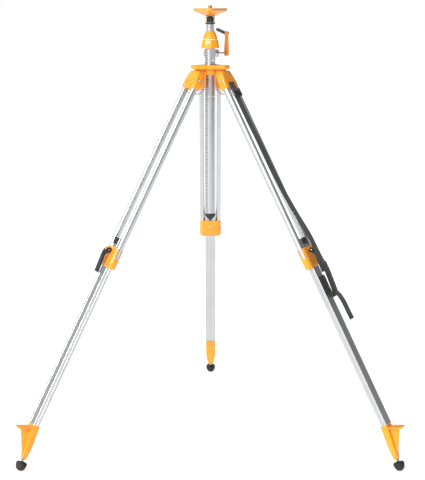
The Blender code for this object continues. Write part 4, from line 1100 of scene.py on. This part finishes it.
def band(name, path, spacing, thickness=STRAP_THICKNESS, wider=0.0, crown=0.0, columns_across=9, quilt=0.0):
    """A band along a path in the leg's XZ plane, with rounded edges, a crowned face and sewn channels."""
    left, right = STRAP_LEFT - wider, STRAP_RIGHT + wider
    centres = fine_path(path, spacing)
    last = len(centres) - 1
    sections = []
    length = 0.0
    for i, centre in enumerate(centres):
        before, after = centres[max(i - 1, 0)], centres[min(i + 1, last)]
        if i:
            length += (centre - before).length
        along = (after - before).normalized()
        out = Vector((-along.y, along.x))
        ends, channel = 1.0, 1.0
        if quilt:
            ends = min(1.0, min(i, last - i) / 2.0 + 0.35)
            channel = 1.0 - quilt * (0.5 + 0.5 * math.cos(2 * math.pi * length / 0.022)) ** 6
        ring = []
        for way in (1, -1):
            for j in range(columns_across + 1):
                share = j / columns_across if way > 0 else 1 - j / columns_across
                round_off = min(1.0, (min(share, 1 - share) * (right - left)) / 0.0012 + 0.35)
                swell = crown * (1 - (2 * share - 1) ** 2) * channel
                half = (thickness / 2 * round_off + swell) * ends * channel
                spot = centre + out * half * way
                ring.append((spot.x, left + (right - left) * share, spot.y))
        sections.append(ring)
    obj = solid(name, stacked(sections))
    weld(obj)
    return smooth(obj, 60.0)


def weld(obj):
    bm = bmesh.new()
    bm.from_mesh(obj.data)
    bmesh.ops.remove_doubles(bm, verts=bm.verts, dist=1e-6)
    bmesh.ops.recalc_face_normals(bm, faces=bm.faces)
    bm.to_mesh(obj.data)
    bm.free()


def stitches(name, spots, body):
    """Short raised threads at spots in the leg's frame, each lying along a direction."""
    half = Vector((0.0026, 0.0007, 0.0006)) / 2
    bm = bmesh.new()
    for spot, way in spots:
        way = Vector(way)
        side = Vector((0.0, 0.0, 1.0)) if way.y else Vector((0.0, 1.0, 0.0))
        third = way.cross(side).normalized()
        other = moved(box(-half, half), frame_at(Vector(spot), way, third.cross(way), third))
        mesh = bpy.data.meshes.new("stitch")
        other.to_mesh(mesh)
        other.free()
        bm.from_mesh(mesh)
        bpy.data.meshes.remove(mesh)
    place(solid(name, bm), HERE, body, THREAD)


def stitch_row(x, z, rows):
    """A row of stitches across the strap at one height."""
    for i in range(9):
        rows.append(((x, STRAP_LEFT + 0.0045 + i * 0.0038, z), (0.0, 1.0, 0.0)))


def buckle():
    """A flat slider buckle with a middle bar, round the webbing."""
    half_width, half_height, tilt = 0.0235, 0.0110, -0.10
    outline = rectangle((-half_width, -half_height), (half_width, half_height), 0.003)
    obj = solid("strap_buckle", prism(outline, -0.0016, 0.0016))
    for way in BOTH:
        low, high = sorted((way * 0.0018, way * (half_height - 0.0032)))
        cut(obj, box((0.0035 - half_width, low, -0.01), (half_width - 0.0035, high, 0.01)))
    soften(obj, 0.0008, 2, 40.0)
    up = Vector((math.sin(tilt), 0.0, math.cos(tilt)))
    out = Vector((math.cos(tilt), 0.0, -math.sin(tilt)))
    spot = HERE @ frame_at(Vector((0.0232, -0.0040, -0.0700)), Vector((0.0, 1.0, 0.0)), up, out)
    place(obj, spot, "leg_right", BLACK)


def wrap_line(x, y_end, x_scale, y_scale):
    """One face of the anchor's webbing: across the leg, then round the farther tube."""
    half_x, half_y = TUBE_HALF[0] * x_scale, TUBE_HALF[1] * y_scale
    return [(x, -0.0300), (x, y_end)] + [
        (half_x * math.cos(a), TUBE_Y + half_y * math.sin(a)) for a in TUBE_WRAP
    ]


def anchor():
    """The webbing that holds the strap on, under the bracket, and its steel ring."""
    outer = wrap_line(0.0192, 0.0400, 1.30, 1.27)
    inner = wrap_line(0.0168, 0.0385, 1.10, 1.06)
    loop = solid("strap_anchor", prism(outer + inner[::-1], -0.0780, -0.0430))
    soften(loop, 0.0006, 2, 40.0)
    place(loop, HERE, "leg_right", WEB)
    ring = solid("strap_ring", prism(rectangle((-0.015, -0.006), (0.015, 0.006), 0.004), -0.0014, 0.0014))
    cut(ring, prism(rectangle((-0.012, -0.0034), (0.012, 0.0034), 0.002, 4), -0.01, 0.01))
    soften(ring, 0.0008, 3, 40.0)
    axes = (Vector((0, 0, 1)), Vector((0.2, 0.98, 0)), Vector((-0.98, 0.2, 0)))
    spot = HERE @ frame_at(Vector((0.0196, -0.0340, -0.0620)), *axes)
    place(ring, spot, "leg_right", STEEL)


def strap():
    run = band("strap_band", STRAP_RUN, 0.008)
    run.matrix_world = HERE
    run.data.materials.append(WEB)
    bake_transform(run)
    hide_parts("strap_webbing")
    pad = band("strap_cushion", PAD_RUN, 0.0030, 0.0050, 0.003, 0.0022, 12, 0.35)
    place(pad, HERE, "lever_right", PADDING, "strap_pad")
    place(band("strap_end", TAIL_RUN, 0.005), HERE, "lever_right", WEB, "strap_tail")
    buckle()
    anchor()
    rows = []
    for y in (STRAP_LEFT + 0.003, STRAP_RIGHT - 0.003):
        for i in range(6):
            rows.append(((0.0195, y, -0.018 - i * 0.0036), (0.0, 0.0, 1.0)))
    stitch_row(0.0195, -0.018, rows)
    stitch_row(0.0195, -0.036, rows)
    stitches("anchor_stitches", rows, "leg_right")
    hem = []
    stitch_row(0.0649, -1.082, hem)
    stitch_row(0.0649, -1.088, hem)
    stitches("tail_stitches", hem, "lever_right")


# ---- looks of the carried-over nodes ----
def carried_over():
    """CAD nodes whose own shape is right keep it, and take a finer material."""
    for name in ("crank_shaft", "column_rack"):
        for slot in frame["nodes"][name].material_slots:
            slot.material = STEEL


# ---- studio ----
ROOM_LEFT, ROOM_RIGHT, ROOM_ABOVE = 0.50, 0.14, 0.30
FLOOR_GLOW = 0.62
WHITE = (1.0, 1.0, 1.0, 1.0)


def floor():
    mesh = bpy.data.meshes.new("floor")
    mesh.from_pydata([(-60, -60, 0), (60, -60, 0), (60, 90, 0), (-60, 90, 0)], [], [(0, 1, 2, 3)])
    obj = linked("floor", mesh)
    obj.location.z = -0.0005
    made, _, shader = blank_material("floor", (0.55, 0.55, 0.55), 0.0, 0.9)
    shader.inputs["Emission Color"].default_value = WHITE
    shader.inputs["Emission Strength"].default_value = FLOOR_GLOW
    shader.inputs["Specular IOR Level"].default_value = 0.0
    mesh.materials.append(made)


def sun(name, source, width, strength):
    data = bpy.data.lights.new(name, "SUN")
    data.energy = strength
    data.angle = math.radians(width)
    obj = linked(name, data)
    obj.rotation_euler = (-Vector(source)).to_track_quat("-Z", "Y").to_euler()


def surroundings():
    """White behind the object. Its reflections see a room that is bright on the left and dim on the right."""
    world = bpy.data.worlds.new("studio")
    bpy.context.scene.world = world
    world.use_nodes = True
    tree = world.node_tree
    room = tree.nodes["Background"]
    room.inputs["Color"].default_value = WHITE
    split = node(tree, "ShaderNodeSeparateXYZ")
    tree.links.new(node(tree, "ShaderNodeTexCoord").outputs["Generated"], split.inputs[0])
    across = spread(tree, split.outputs[0], ROOM_LEFT, ROOM_RIGHT, -0.9, 0.7)
    above = spread(tree, split.outputs[2], 0.0, ROOM_ABOVE, 0.1, 0.9)
    tree.links.new(plus(tree, across, above), room.inputs["Strength"])
    white = node(tree, "ShaderNodeBackground", Color=WHITE, Strength=1.0)
    mix = node(tree, "ShaderNodeMixShader")
    tree.links.new(node(tree, "ShaderNodeLightPath").outputs["Is Camera Ray"], mix.inputs[0])
    tree.links.new(room.outputs[0], mix.inputs[1])
    tree.links.new(white.outputs[0], mix.inputs[2])
    tree.links.new(mix.outputs[0], tree.nodes["World Output"].inputs["Surface"])


def studio():
    scene = bpy.context.scene
    scene.view_settings.view_transform = "Standard"
    scene.view_settings.look = "None"
    surroundings()
    floor()
    sun("key", (-0.75, -1.0, 0.62), 26.0, 3.2)
    sun("rim", (-0.5, 1.0, 1.3), 40.0, 0.8)


def camera():
    data = bpy.data.cameras.new("camera")
    data.sensor_width = 36.0
    data.lens = 87.9
    obj = linked("camera", data)
    obj.location = (AXIS.x + 0.0095, AXIS.y - 4.875, 1.812)
    obj.rotation_euler = (math.radians(90.0 - 11.09), 0.0, 0.0)
    bpy.context.scene.camera = obj


camera()
studio()
chains()
strap()
for each_side in SIDES:
    leg(each_side)
hub()
gear_case()
crank()
columns()
head()
carried_over()
